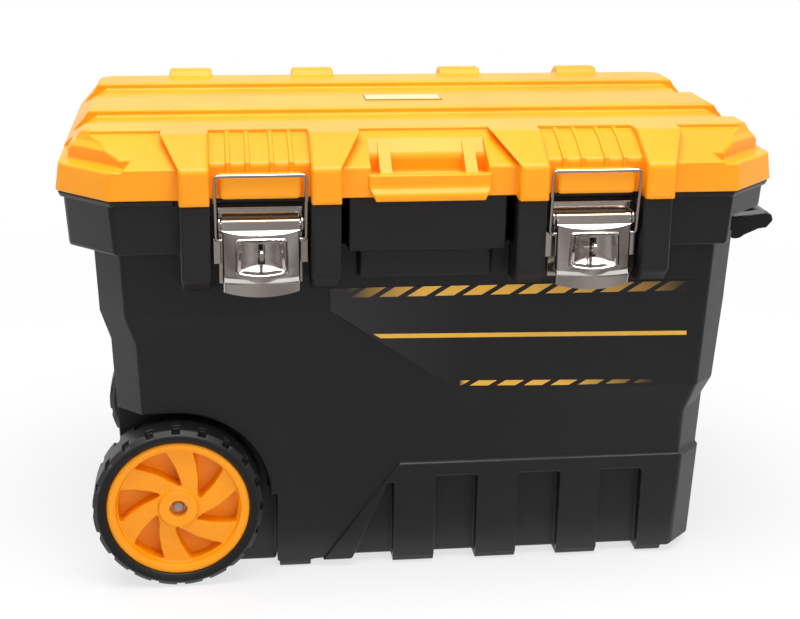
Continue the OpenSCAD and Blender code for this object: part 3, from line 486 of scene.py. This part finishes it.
def lever_profile(u, pin, sizes):
    """Places in Y and Z from the back of the roll to the foot of the face, at one place across."""
    face_y = pin.y - sizes.out
    crease_z = pin.z - CREASE
    arc = arc_radius(sizes.half + BOW_MARGIN, sizes.bow)
    ahead = math.sqrt(arc ** 2 - u ** 2) - (arc - sizes.bow)
    rim = math.sqrt(arc ** 2 - sizes.dish ** 2) - (arc - sizes.bow)
    trough = arc_radius(sizes.dish, sizes.deep - (sizes.bow - rim))
    places = []
    for i in range(LEVER_ROLL):
        turn = math.radians(ROLL_START + ROLL_SWEEP * i / (LEVER_ROLL - 1))
        places.append((pin.y + sizes.roll * math.cos(turn), pin.z + sizes.roll * math.sin(turn)))
    top = crease_z - ahead * BROW_SHARE
    for i in range(LEVER_CRESCENT):
        part = i / LEVER_CRESCENT
        places.append((face_y - ahead * BROW_SHARE * part, crease_z + (top - crease_z) * part))
    foot_arc = arc_radius(sizes.half, LEVER_FOOT_BOW)
    foot = pin.z - LEVER_LENGTH + foot_arc - math.sqrt(foot_arc ** 2 - u ** 2)
    dish_floor = -sizes.bow + sizes.deep - trough + math.sqrt(max(trough ** 2 - u ** 2, 0.0))
    for i in range(LEVER_FACE + 1):
        z = top + (foot - top) * i / LEVER_FACE
        below = pin.z - z
        if below < BAND_TOP:
            step = 0.0
        elif below < BAND_FOOT:
            step = RIDGE * (below - BAND_TOP) / (BAND_FOOT - BAND_TOP)
        else:
            run = LEVER_LENGTH + RIDGE_TOE - BAND_FOOT
            step = RIDGE - (RIDGE + RIDGE_TOE) * (below - BAND_FOOT) / run
        swell = BROW_SHARE + (1 - BROW_SHARE) * min((crease_z - z) / (DISH_FOOT - DISH_TOP), 1.0)
        turned = max(abs(u) - sizes.half + LEVER_TURN, 0.0) / LEVER_TURN
        face = -ahead * swell - step + LEVER_TURN * turned ** 2
        sill = -sizes.bow + sizes.deep * (DISH_FOOT - below) / DISH_SILL
        brow = -sizes.bow + sizes.deep * (below - DISH_TOP) / DISH_BROW
        side = -sizes.bow + (sizes.dish - abs(u)) * DISH_SIDE + (sizes.bow - rim)
        dish = dish_floor
        for slope in (sill, brow, side):
            dish = soft_least(dish, slope, DISH_BLEND)
        lip = DISH_LIP * max(1 - ((face - dish) / DISH_LIP_REACH) ** 2, 0.0) ** 2
        places.append((face_y - soft_least(-face, -dish, FACE_BLEND) - lip, z))
    return places


def lever_sheet(pin, sizes):
    """Pressed lever: one sheet from the roll to the foot, thickened, with a flange at each side."""
    rows = LEVER_ROLL + LEVER_CRESCENT + LEVER_FACE + 1
    bm = bmesh.new()
    bmesh.ops.create_grid(bm, x_segments=LEVER_COLUMNS, y_segments=rows - 1, size=1.0)
    columns = {}
    for vert in bm.verts:
        i = round((vert.co.x + 1) / 2 * LEVER_COLUMNS)
        j = round((1 - vert.co.y) / 2 * (rows - 1))
        columns.setdefault(i, []).append((j, vert))
    for i, column in columns.items():
        u = sizes.half * (2 * i / LEVER_COLUMNS - 1)
        profile = lever_profile(u, pin, sizes)
        for j, vert in column:
            vert.co = (pin.x + u, *profile[j])
    bmesh.ops.smooth_vert(bm, verts=[v for v in bm.verts if not v.is_boundary], factor=LEVER_SMOOTH,
                          use_axis_x=True, use_axis_y=True, use_axis_z=True)
    slot = []
    for face in bm.faces:
        middle = face.calc_center_median()
        within = abs(middle.x - pin.x) < SLOT_HALF and SLOT_TOP < pin.z - middle.z < SLOT_FOOT
        if within and middle.y < pin.y:
            slot.append(face)
    bmesh.ops.delete(bm, geom=slot, context="FACES")
    bmesh.ops.recalc_face_normals(bm, faces=bm.faces)
    if sum(f.normal.y for f in bm.faces) > 0:
        bmesh.ops.reverse_faces(bm, faces=bm.faces)
    bmesh.ops.solidify(bm, geom=bm.faces[:], thickness=sizes.sheet)
    front = pin.y - sizes.out + FLANGE_INSET
    back = pin.y + FLANGE_BACK
    outline = ((front, 0.0), (back, 0.0), (back, -FLANGE_HEEL), (front, -FLANGE_FOOT))
    for sign in (-1, 1):
        corners = [bm.verts.new((pin.x + sign * sizes.half, y, pin.z + z)) for y, z in outline]
        plate = bm.faces.new(corners if sign > 0 else corners[::-1])
        grown = bmesh.ops.extrude_face_region(bm, geom=[plate])["geom"]
        bmesh.ops.translate(bm, verts=[v for v in grown if isinstance(v, bmesh.types.BMVert)],
                            vec=(-sign * FLANGE, 0, 0))
    bmesh.ops.recalc_face_normals(bm, faces=bm.faces)
    for face in bm.faces:
        face.smooth = True
    return bm


# Finishes


def add(tree, kind, inputs=None, **settings):
    """Adds a shader node with its settings, and sets or links its inputs."""
    made = tree.nodes.new("ShaderNode" + kind)
    for key, value in settings.items():
        setattr(made, key, value)
    for key, value in (inputs or {}).items():
        if isinstance(value, bpy.types.NodeSocket):
            tree.links.new(value, made.inputs[key])
        else:
            made.inputs[key].default_value = value
    return made


def blank(name):
    """Material with an emptied tree, and its object coordinates."""
    made = bpy.data.materials.get(name) or bpy.data.materials.new(name)
    made.use_nodes = True
    tree = made.node_tree
    tree.nodes.clear()
    return made, tree, add(tree, "TexCoord").outputs["Object"]


def shade(rgb, factor=1.0):
    """Colour socket value, lightened or darkened."""
    return tuple(min(1.0, c * factor) for c in rgb) + (1.0,)


def moulded(name, rgb, rough, grain, depth, edge_light, mirror):
    """Moulded plastic or rubber: an eroded grain, faint flow patches, and sharp edges lightened a little,
    partly as rubbing and partly as a painted highlight.

    The grain's width and depth are in millimetres."""
    made, tree, place = blank(name)
    tone = add(tree, "TexNoise", {"Vector": place, "Scale": 1 / TONE_PATCH, "Detail": 3.0})
    flow = add(tree, "TexNoise", {"Vector": place, "Scale": 1 / FLOW_PATCH, "Detail": 2.0})
    pits = add(tree, "TexNoise", {
        "Vector": place, "Scale": 1 / (grain * MM), "Detail": 2.0, "Roughness": 0.6})
    base = add(tree, "ValToRGB", {"Fac": tone.outputs["Fac"]})
    for stop, position, factor in zip(base.color_ramp.elements, TONE_STOPS, TONE_SHADES):
        stop.position = position
        stop.color = shade(rgb, factor)
    # Sharp edges are lightened by pointiness: partly rubbing, partly a painted highlight on the rounds
    point = add(tree, "NewGeometry").outputs["Pointiness"]
    edge_wear_and_highlight = add(tree, "MapRange", {
        "Value": point, "From Min": WEAR_AND_HIGHLIGHT_FROM, "From Max": WEAR_AND_HIGHLIGHT_TO, "To Max": edge_light})
    lighter = shade([c + WEAR_AND_HIGHLIGHT_LIFT for c in rgb], WEAR_AND_HIGHLIGHT_SHADE)
    worn_and_highlit = add(tree, "MixRGB", {
        "Fac": edge_wear_and_highlight.outputs["Result"], "Color1": base.outputs["Color"], "Color2": lighter})
    gloss = add(tree, "MapRange", {
        "Value": flow.outputs["Fac"], "To Min": rough - GLOSS_SPREAD, "To Max": rough + GLOSS_SPREAD})
    bump = add(tree, "Bump", {"Strength": 0.5, "Distance": depth * MM, "Height": pits.outputs["Fac"]})
    shader = add(tree, "BsdfPrincipled", {
        "Base Color": worn_and_highlit.outputs["Color"], "Roughness": gloss.outputs["Result"],
        "IOR": PLASTIC_IOR, "Specular IOR Level": mirror, "Normal": bump.outputs["Normal"],
    })
    add(tree, "OutputMaterial", {"Surface": shader.outputs["BSDF"]})
    return made


def tub_plastic():
    # Moulded polypropylene, black: satin, with a fine eroded grain that is drawn at 1.4 mm so that it shows
    # Its sharp edges get a faint painted highlight, partly standing for rubbing
    return moulded("moulded_polypropylene_black", bpy.context.scene.toolbox_finish.tub,
                   rough=0.4, grain=1.4, depth=0.05, edge_light=0.08, mirror=0.55)


def lid_plastic():
    # Moulded polypropylene, orange: satin and even, with a grain that only softens the reflections
    return moulded("moulded_polypropylene_orange", bpy.context.scene.toolbox_finish.lid,
                   rough=0.36, grain=1.6, depth=0.03, edge_light=0.03, mirror=0.38)


def handle_plastic():
    # Moulded nylon, black: polished mould, so it is glossier than the tub
    return moulded("moulded_nylon_gloss_black", bpy.context.scene.toolbox_finish.handle,
                   rough=0.24, grain=2.5, depth=0.012, edge_light=0.2, mirror=0.5)


def tyre_rubber():
    # Moulded rubber, dark grey: duller than the plastics, with edges lightened, partly as scuffs and partly
    # as a painted highlight
    return moulded("moulded_rubber_dark_grey", bpy.context.scene.toolbox_finish.tyre,
                   rough=0.45, grain=2.0, depth=0.06, edge_light=0.4, mirror=0.5)


def plated(name, rgb, rough, wave, spangle):
    """Steel, plated or drawn: long soft waves from pressing, a fine haze and a slightly uneven tone.

    The depth of the waves and the width of the haze's spangle are in millimetres."""
    made, tree, place = blank(name)
    haze = add(tree, "TexNoise", {"Vector": place, "Scale": 1 / (spangle * MM), "Detail": 4.0})
    swell = add(tree, "TexNoise", {"Vector": place, "Scale": 1 / PRESS_WAVE, "Detail": 1.0})
    base = add(tree, "ValToRGB", {"Fac": haze.outputs["Fac"]})
    for stop, factor in zip(base.color_ramp.elements, HAZE_SHADES):
        stop.color = shade(rgb, factor)
    gloss = add(tree, "MapRange", {
        "Value": haze.outputs["Fac"], "To Min": rough * HAZE_GLOSS[0], "To Max": rough * HAZE_GLOSS[1]})
    bump = add(tree, "Bump", {"Strength": 0.4, "Distance": wave * MM, "Height": swell.outputs["Fac"]})
    shader = add(tree, "BsdfPrincipled", {
        "Base Color": base.outputs["Color"], "Roughness": gloss.outputs["Result"], "Metallic": 1.0,
        "Normal": bump.outputs["Normal"],
    })
    add(tree, "OutputMaterial", {"Surface": shader.outputs["BSDF"]})
    return made


def nickel():
    # Bright nickel plate on pressed steel: a near mirror that bends straight reflections a little
    return plated("bright_nickel_plate", bpy.context.scene.toolbox_finish.nickel,
                  rough=0.13, wave=0.25, spangle=3.0)


def zinc():
    # Zinc plate on turned steel: greyer and softer than the nickel, with a fine cloudy spangle
    return plated("zinc_plate", bpy.context.scene.toolbox_finish.zinc,
                  rough=0.42, wave=0.05, spangle=1.5)


def drawn_steel():
    # Drawn mild steel, lightly oiled: darker than the plated pieces, with a dull even sheen
    return plated("drawn_mild_steel", bpy.context.scene.toolbox_finish.rod,
                  rough=0.4, wave=0.04, spangle=1.5)


def stripes(tree, x, z, foot, slope, height, first, fade):
    """Slanted stripes along a band of the label in millimetres: 1 on a stripe, fading at both ends."""
    level_z = add(tree, "Math", {0: x, 1: -slope, 2: z}, operation="MULTIPLY_ADD")
    rise = add(tree, "Math", {0: level_z.outputs[0], 1: foot}, operation="SUBTRACT").outputs[0]
    middle = add(tree, "Math", {0: rise, 1: height / 2}, operation="SUBTRACT").outputs[0]
    away = add(tree, "Math", {0: middle}, operation="ABSOLUTE").outputs[0]
    inside = add(tree, "Math", {0: away, 1: height / 2}, operation="LESS_THAN").outputs[0]
    slid = add(tree, "Math", {0: rise, 1: -STRIPE_LEAN, 2: x}, operation="MULTIPLY_ADD").outputs[0]
    start = add(tree, "Math", {0: slid, 1: first}, operation="SUBTRACT").outputs[0]
    turns = add(tree, "Math", {0: start, 1: STRIPE_PITCH}, operation="DIVIDE").outputs[0]
    part = add(tree, "Math", {0: turns}, operation="FRACT").outputs[0]
    on = add(tree, "Math", {0: part, 1: STRIPE_SHARE}, operation="LESS_THAN").outputs[0]
    comes = add(tree, "MapRange", {"Value": x, "From Min": fade[0], "From Max": fade[1]}).outputs["Result"]
    goes = add(tree, "MapRange", {
        "Value": x, "From Min": fade[2], "From Max": fade[3], "To Min": 1.0, "To Max": 0.0}).outputs["Result"]
    both = add(tree, "Math", {0: comes, 1: goes}, operation="MULTIPLY").outputs[0]
    band = add(tree, "Math", {0: inside, 1: on}, operation="MULTIPLY").outputs[0]
    return add(tree, "Math", {0: band, 1: both}, operation="MULTIPLY").outputs[0]


def printed_film():
    # Printed polypropylene film: black ink under a smooth clear film, slanted yellow stripes and a rule
    made, tree, place = blank("printed_polypropylene_film")
    finish = bpy.context.scene.toolbox_finish
    in_mm = add(tree, "VectorMath", {0: place, "Scale": 1 / MM}, operation="SCALE")
    axes = add(tree, "SeparateXYZ", {0: in_mm.outputs[0]})
    x, z = axes.outputs["X"], axes.outputs["Z"]
    # The ground fades from dark grey at the slanted end to black
    fading = add(tree, "MapRange", {"Value": x, "From Min": FILM_FADE[0], "From Max": FILM_FADE[1]})
    ground = add(tree, "ValToRGB", {"Fac": fading.outputs["Result"]})
    ground.color_ramp.elements[0].color = shade(finish.film, FILM_PALE)
    ground.color_ramp.elements[1].color = shade(finish.film)
    rule_z = add(tree, "Math", {0: x, 1: RULE_SLOPE, 2: RULE_Z}, operation="MULTIPLY_ADD").outputs[0]
    off = add(tree, "Math", {0: z, 1: rule_z}, operation="SUBTRACT").outputs[0]
    beside = add(tree, "Math", {0: off}, operation="ABSOLUTE").outputs[0]
    on_rule = add(tree, "Math", {0: beside, 1: RULE_HALF}, operation="LESS_THAN").outputs[0]
    slant = add(tree, "Math", {0: off, 1: STRIPE_LEAN, 2: x}, operation="MULTIPLY_ADD").outputs[0]
    past = add(tree, "Math", {0: slant, 1: RULE_ENDS[0]}, operation="GREATER_THAN").outputs[0]
    short = add(tree, "Math", {0: x, 1: RULE_ENDS[1]}, operation="LESS_THAN").outputs[0]
    ends = add(tree, "Math", {0: past, 1: short}, operation="MULTIPLY").outputs[0]
    rule = add(tree, "Math", {0: on_rule, 1: ends}, operation="MULTIPLY").outputs[0]
    printed = ground.outputs["Color"]
    for mask in [stripes(tree, x, z, **band) for band in STRIPE_BANDS] + [rule]:
        layer = add(tree, "MixRGB", {"Fac": mask, "Color1": printed, "Color2": shade(finish.stripe)})
        printed = layer.outputs["Color"]
    ink = add(tree, "TexNoise", {"Vector": place, "Scale": 1 / INK_PATCH, "Detail": 2.0})
    gloss = add(tree, "MapRange", {
        "Value": ink.outputs["Fac"], "To Min": FILM_GLOSS[0], "To Max": FILM_GLOSS[1]})
    ripple = add(tree, "Bump", {"Strength": 0.3, "Distance": FILM_RIPPLE, "Height": ink.outputs["Fac"]})
    shader = add(tree, "BsdfPrincipled", {
        "Base Color": printed, "Roughness": gloss.outputs["Result"], "IOR": PLASTIC_IOR,
        "Normal": ripple.outputs["Normal"],
    })
    add(tree, "OutputMaterial", {"Surface": shader.outputs["BSDF"]})
    return made


def nameplate_film():
    # Cream polypropylene film with a brown line round its edge, left bare inside
    made, tree, place = blank("printed_cream_film")
    low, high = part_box("lid_nameplate")
    middle = (low + high) / 2
    half = high - middle
    centred = add(tree, "VectorMath", {0: place, 1: tuple(middle)}, operation="SUBTRACT")
    sizes = add(tree, "VectorMath", {0: centred.outputs[0]}, operation="ABSOLUTE")
    axes = add(tree, "SeparateXYZ", {0: sizes.outputs[0]})
    past_x = add(tree, "Math", {0: axes.outputs["X"], 1: half.x - PLATE_LINE}, operation="GREATER_THAN")
    past_y = add(tree, "Math", {0: axes.outputs["Y"], 1: half.y - PLATE_LINE}, operation="GREATER_THAN")
    line = add(tree, "Math", {0: past_x.outputs[0], 1: past_y.outputs[0]}, operation="MAXIMUM")
    cream = bpy.context.scene.toolbox_finish.plate
    patches = add(tree, "TexNoise", {"Vector": place, "Scale": 1 / PLATE_PATCH, "Detail": 2.0})
    ground = add(tree, "ValToRGB", {"Fac": patches.outputs["Fac"]})
    for stop, factor in zip(ground.color_ramp.elements, PLATE_SHADES):
        stop.color = shade(cream, factor)
    inked = add(tree, "MixRGB", {
        "Fac": line.outputs[0], "Color1": ground.outputs["Color"], "Color2": shade(linear(PLATE_INK))})
    gloss = add(tree, "MapRange", {
        "Value": patches.outputs["Fac"], "To Min": PLATE_GLOSS[0], "To Max": PLATE_GLOSS[1]})
    shader = add(tree, "BsdfPrincipled", {
        "Base Color": inked.outputs["Color"], "Roughness": gloss.outputs["Result"], "IOR": PLASTIC_IOR,
    })
    add(tree, "OutputMaterial", {"Surface": shader.outputs["BSDF"]})
    return made


class TOOLBOX_OT_tub(bpy.types.Operator):
    """Round the tub's edges and give it its black moulded plastic"""

    bl_idname = "toolbox.tub"
    bl_label = "Tub"

    def execute(self, context):
        around = Vector((TIGHT_REACH, TIGHT_REACH, TIGHT_REACH))
        boxes = (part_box("hinge_rod"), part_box("axle"))
        tight = [(low - around, high + around) for low, high in boxes]
        radius = context.scene.toolbox_edges.tub
        stand_in("tub", radius, tub_plastic(), tight=tight, halved=True)
        return {"FINISHED"}


class TOOLBOX_OT_lid(bpy.types.Operator):
    """Round the lid's edges and give it its orange moulded plastic"""

    bl_idname = "toolbox.lid"
    bl_label = "Lid"

    def execute(self, context):
        radius = context.scene.toolbox_edges.lid
        stand_in("lid", radius, lid_plastic(), segments=4, halved=True)
        return {"FINISHED"}


class TOOLBOX_OT_latches(bpy.types.Operator):
    """Finish the plates, levers, bails, staples, rivets and pins of both latches"""

    bl_idname = "toolbox.latches"
    bl_label = "Latches"

    def execute(self, context):
        edges = context.scene.toolbox_edges
        metal = nickel()
        for side in SIDES:
            for part, radius in (
                ("latch_plate", edges.sheet), ("padlock_staple", edges.sheet), ("latch_rivets", edges.turned),
                ("lever_pin", edges.turned), ("latch_bail", edges.sheet),
            ):
                stand_in(f"{part}_{side}", radius, metal)
            low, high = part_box(f"lever_pin_{side}")
            sheet = lever_sheet((low + high) / 2, context.scene.toolbox_lever)
            lever = made_object(sheet, f"latch_lever_{side}_finished", metal)
            lever.data.set_sharp_from_angle(angle=LEVER_SHARP)
            lever.modifiers.new("flat_faces", "WEIGHTED_NORMAL").keep_sharp = True
            settle(lever, f"lever_{side}", f"latch_lever_{side}")
        return {"FINISHED"}


class TOOLBOX_OT_wheels(bpy.types.Operator):
    """Finish the spoked rims, the tyres and the axle with its washers and clips"""

    bl_idname = "toolbox.wheels"
    bl_label = "Wheels"

    def execute(self, context):
        edges = context.scene.toolbox_edges
        plastic, rubber, metal = lid_plastic(), tyre_rubber(), zinc()
        for end in AXLE_ENDS:
            softened(f"wheel_rim_{end}", edges.rim, plastic)
            stand_in(f"tyre_{end}", edges.tyre, rubber)
        stand_in("axle", edges.axle, metal, segments=6)
        for part in ("axle_washers", "axle_clips"):
            stand_in(part, edges.turned, metal)
        return {"FINISHED"}


class TOOLBOX_OT_tow_handle(bpy.types.Operator):
    """Finish the folding tow handle and its pins"""

    bl_idname = "toolbox.tow_handle"
    bl_label = "Tow handle"

    def execute(self, context):
        edges = context.scene.toolbox_edges
        stand_in("tow_handle", edges.handle, handle_plastic())
        stand_in("handle_pins", edges.turned, zinc())
        return {"FINISHED"}


class TOOLBOX_OT_hinge(bpy.types.Operator):
    """Finish the hinge rod and its caps"""

    bl_idname = "toolbox.hinge"
    bl_label = "Hinge"

    def execute(self, context):
        for part, metal in (("hinge_rod", drawn_steel()), ("hinge_caps", zinc())):
            stand_in(part, context.scene.toolbox_edges.turned, metal)
        return {"FINISHED"}


class TOOLBOX_OT_labels(bpy.types.Operator):
    """Print the stripes of the front label and leave both labels bare of words"""

    bl_idname = "toolbox.labels"
    bl_label = "Labels"

    def execute(self, context):
        for part, film in (("front_label", printed_film()), ("lid_nameplate", nameplate_film())):
            stand_in(part, LABEL_ROUND, film)
        return {"FINISHED"}


class TOOLBOX_OT_stage(bpy.types.Operator):
    """Set up the camera, the white floor and the soft studio light"""

    bl_idname = "toolbox.stage"
    bl_label = "Stage"

    def execute(self, context):
        scene = context.scene
        scene.view_settings.view_transform = "Standard"
        self.camera(scene)
        self.lamps(scene)
        self.world(scene)
        self.floor(scene)
        self.cards()
        return {"FINISHED"}

    def camera(self, scene):
        """Camera where the photograph was taken."""
        yaw, pitch, roll = CAMERA_TURN
        ahead = Vector((math.sin(yaw) * math.cos(pitch), math.cos(yaw) * math.cos(pitch), -math.sin(pitch)))
        level_right = Vector((math.cos(yaw), -math.sin(yaw), 0))
        level_up = level_right.cross(ahead)
        right = math.cos(roll) * level_right + math.sin(roll) * level_up
        up = math.cos(roll) * level_up - math.sin(roll) * level_right
        data = bpy.data.cameras.new("camera")
        data.sensor_fit = "HORIZONTAL"
        data.sensor_width = SENSOR
        data.lens = SENSOR * FOCAL_PIXELS / PHOTO_WIDTH
        camera = bpy.data.objects.new("camera", data)
        turned = Matrix((right, up, -ahead)).transposed().to_4x4()
        camera.matrix_world = Matrix.Translation(CAMERA_PLACE) @ turned
        scene.collection.objects.link(camera)
        scene.camera = camera

    def lamps(self, scene):
        """Overhead softbox, and a front fill that metal doesn't mirror."""
        for name, (place, aim, size, mirrored) in LAMPS.items():
            data = bpy.data.lights.new(name, "AREA")
            data.shape = "RECTANGLE"
            data.size, data.size_y = size
            data.energy = getattr(scene.toolbox_stage, name)
            lamp = bpy.data.objects.new(name, data)
            lamp.location = place
            lamp.rotation_euler = (Vector(aim) - Vector(place)).to_track_quat("-Z", "Y").to_euler()
            lamp.visible_glossy = mirrored
            scene.collection.objects.link(lamp)

    def seen(self, tree):
        """1 where a camera, mirror or glass ray meets the surface."""
        path = add(tree, "LightPath")
        either = add(tree, "Math", {
            0: path.outputs["Is Camera Ray"], 1: path.outputs["Is Glossy Ray"]}, operation="MAXIMUM")
        return add(tree, "Math", {
            0: either.outputs[0], 1: path.outputs["Is Transmission Ray"]}, operation="MAXIMUM").outputs[0]

    def world(self, scene):
        """White surroundings, dimmer as a light than as a background."""
        world = bpy.data.worlds.new("studio")
        scene.world = world
        world.use_nodes = True
        tree = world.node_tree
        tree.nodes.clear()
        strength = add(tree, "MapRange", {
            "Value": self.seen(tree), "To Min": scene.toolbox_stage.world, "To Max": 1.0})
        back = add(tree, "Background", {
            "Color": shade(linear(WHITE)), "Strength": strength.outputs["Result"]})
        add(tree, "OutputWorld", {"Surface": back.outputs["Background"]})

    def floor(self, scene):
        """Pale floor that keeps the shadow and fades into the white background."""
        # Matt white paint: no sheen at all, so only the soft shadow shows
        made, tree, place = blank("matt_paint_white")
        away = add(tree, "VectorMath", {0: place}, operation="LENGTH")
        share = add(tree, "MapRange", {
            "Value": away.outputs["Value"], "From Min": FLOOR_FADE[0], "From Max": FLOOR_FADE[1],
            "To Min": scene.toolbox_stage.floor, "To Max": 1.0}, interpolation_type="SMOOTHSTEP")
        plain = add(tree, "Math", {0: share.outputs["Result"], 1: self.seen(tree)}, operation="MULTIPLY")
        matt = add(tree, "BsdfDiffuse", {"Color": shade(linear(FLOOR_PAINT))})
        white = add(tree, "Emission", {"Color": shade(linear(WHITE)), "Strength": 1.0})
        mixed = add(tree, "MixShader", {0: plain.outputs[0], 1: matt.outputs[0], 2: white.outputs[0]})
        add(tree, "OutputMaterial", {"Surface": mixed.outputs[0]})
        bm = bmesh.new()
        bmesh.ops.create_circle(bm, cap_ends=True, radius=FLOOR_RADIUS, segments=FLOOR_SIDES)
        made_object(bm, "floor", made)

    def cards(self):
        """Dark studio cards in front of the box, upright and on the floor, seen only in reflections: glowing
        sheets of painted light and shade that stand in for the dark room.
        """
        # Glowing card, brown grey: painted light in the middle that fades to painted shade at the ends, with
        # soft bands of painted shade that break up the metal's shine
        made, tree, place = blank("matt_card_brown_grey")
        across = add(tree, "SeparateXYZ", {0: place})
        away = add(tree, "Math", {0: across.outputs["X"]}, operation="ABSOLUTE")
        painted_light_across = add(tree, "MapRange", {
            "Value": away.outputs[0], "From Max": CARD_FADE, "To Min": 1.0, "To Max": 0.0})
        folds = add(tree, "TexWave", {"Vector": place, "Scale": math.tau / (WAVE_RADIANS * CARD_FOLD)})
        fold_painted_shade = add(tree, "MapRange", {
            "Value": folds.outputs["Fac"], "To Min": CARD_FOLD_LEAST, "To Max": 1.0})
        share = add(tree, "Math", {0: painted_light_across.outputs["Result"], 1: fold_painted_shade.outputs["Result"]}, operation="MULTIPLY")
        tone = add(tree, "MixRGB", {
            "Fac": share.outputs[0], "Color1": shade(linear(CARD_PAINTED_SHADE)), "Color2": shade(linear(CARD_PAINTED_LIGHT))})
        card = add(tree, "Emission", {"Color": tone.outputs["Color"], "Strength": 1.0})
        add(tree, "OutputMaterial", {"Surface": card.outputs[0]})
        upright = Matrix.Translation(FRONT_CARD_PLACE) @ Matrix.Rotation(math.pi / 2, 4, "X")
        lying = Matrix.Translation(FLOOR_CARD_PLACE)
        for name, spot, half in (
            ("front_card", upright, FRONT_CARD_HALF), ("floor_card", lying, FLOOR_CARD_HALF),
        ):
            bm = bmesh.new()
            spread = spot @ Matrix.Diagonal((*half, 1, 1))
            bmesh.ops.create_grid(bm, x_segments=1, y_segments=1, size=1.0, matrix=spread)
            flag = made_object(bm, name, made)
            for ray in ("camera", "diffuse", "transmission", "volume_scatter", "shadow"):
                setattr(flag, "visible_" + ray, False)


class TOOLBOX_PT_sidebar(bpy.types.Panel):
    """Sizes, colours and steps of the toolbox"""

    bl_idname = "TOOLBOX_PT_sidebar"
    bl_label = "Rolling toolbox"
    bl_space_type = "VIEW_3D"
    bl_region_type = "UI"
    bl_category = "Toolbox"

    def draw(self, context):
        for group in (getattr(context.scene, name) for name in GROUPS):
            box = self.layout.box()
            for name in group.bl_rna.properties.keys():
                if name not in ("rna_type", "name"):
                    box.prop(group, name)
        for step in STEPS:
            self.layout.operator(step.bl_idname)


GROUPS = {
    "toolbox_edges": ToolboxEdges, "toolbox_lever": ToolboxLever, "toolbox_finish": ToolboxFinish,
    "toolbox_stage": ToolboxStage,
}
STEPS = (
    TOOLBOX_OT_tub, TOOLBOX_OT_lid, TOOLBOX_OT_latches, TOOLBOX_OT_wheels, TOOLBOX_OT_tow_handle,
    TOOLBOX_OT_hinge, TOOLBOX_OT_labels, TOOLBOX_OT_stage,
)
CLASSES = tuple(GROUPS.values()) + STEPS + (TOOLBOX_PT_sidebar,)


def register():
    for each in CLASSES:
        bpy.utils.register_class(each)
    for name, group in GROUPS.items():
        setattr(bpy.types.Scene, name, bpy.props.PointerProperty(type=group))


def unregister():
    for name in GROUPS:
        delattr(bpy.types.Scene, name)
    for each in reversed(CLASSES):
        bpy.utils.unregister_class(each)


def main():
    register()
    for step in STEPS:
        family, name = step.bl_idname.split(".")
        getattr(getattr(bpy.ops, family), name)()


if __name__ == "__main__":
    main()
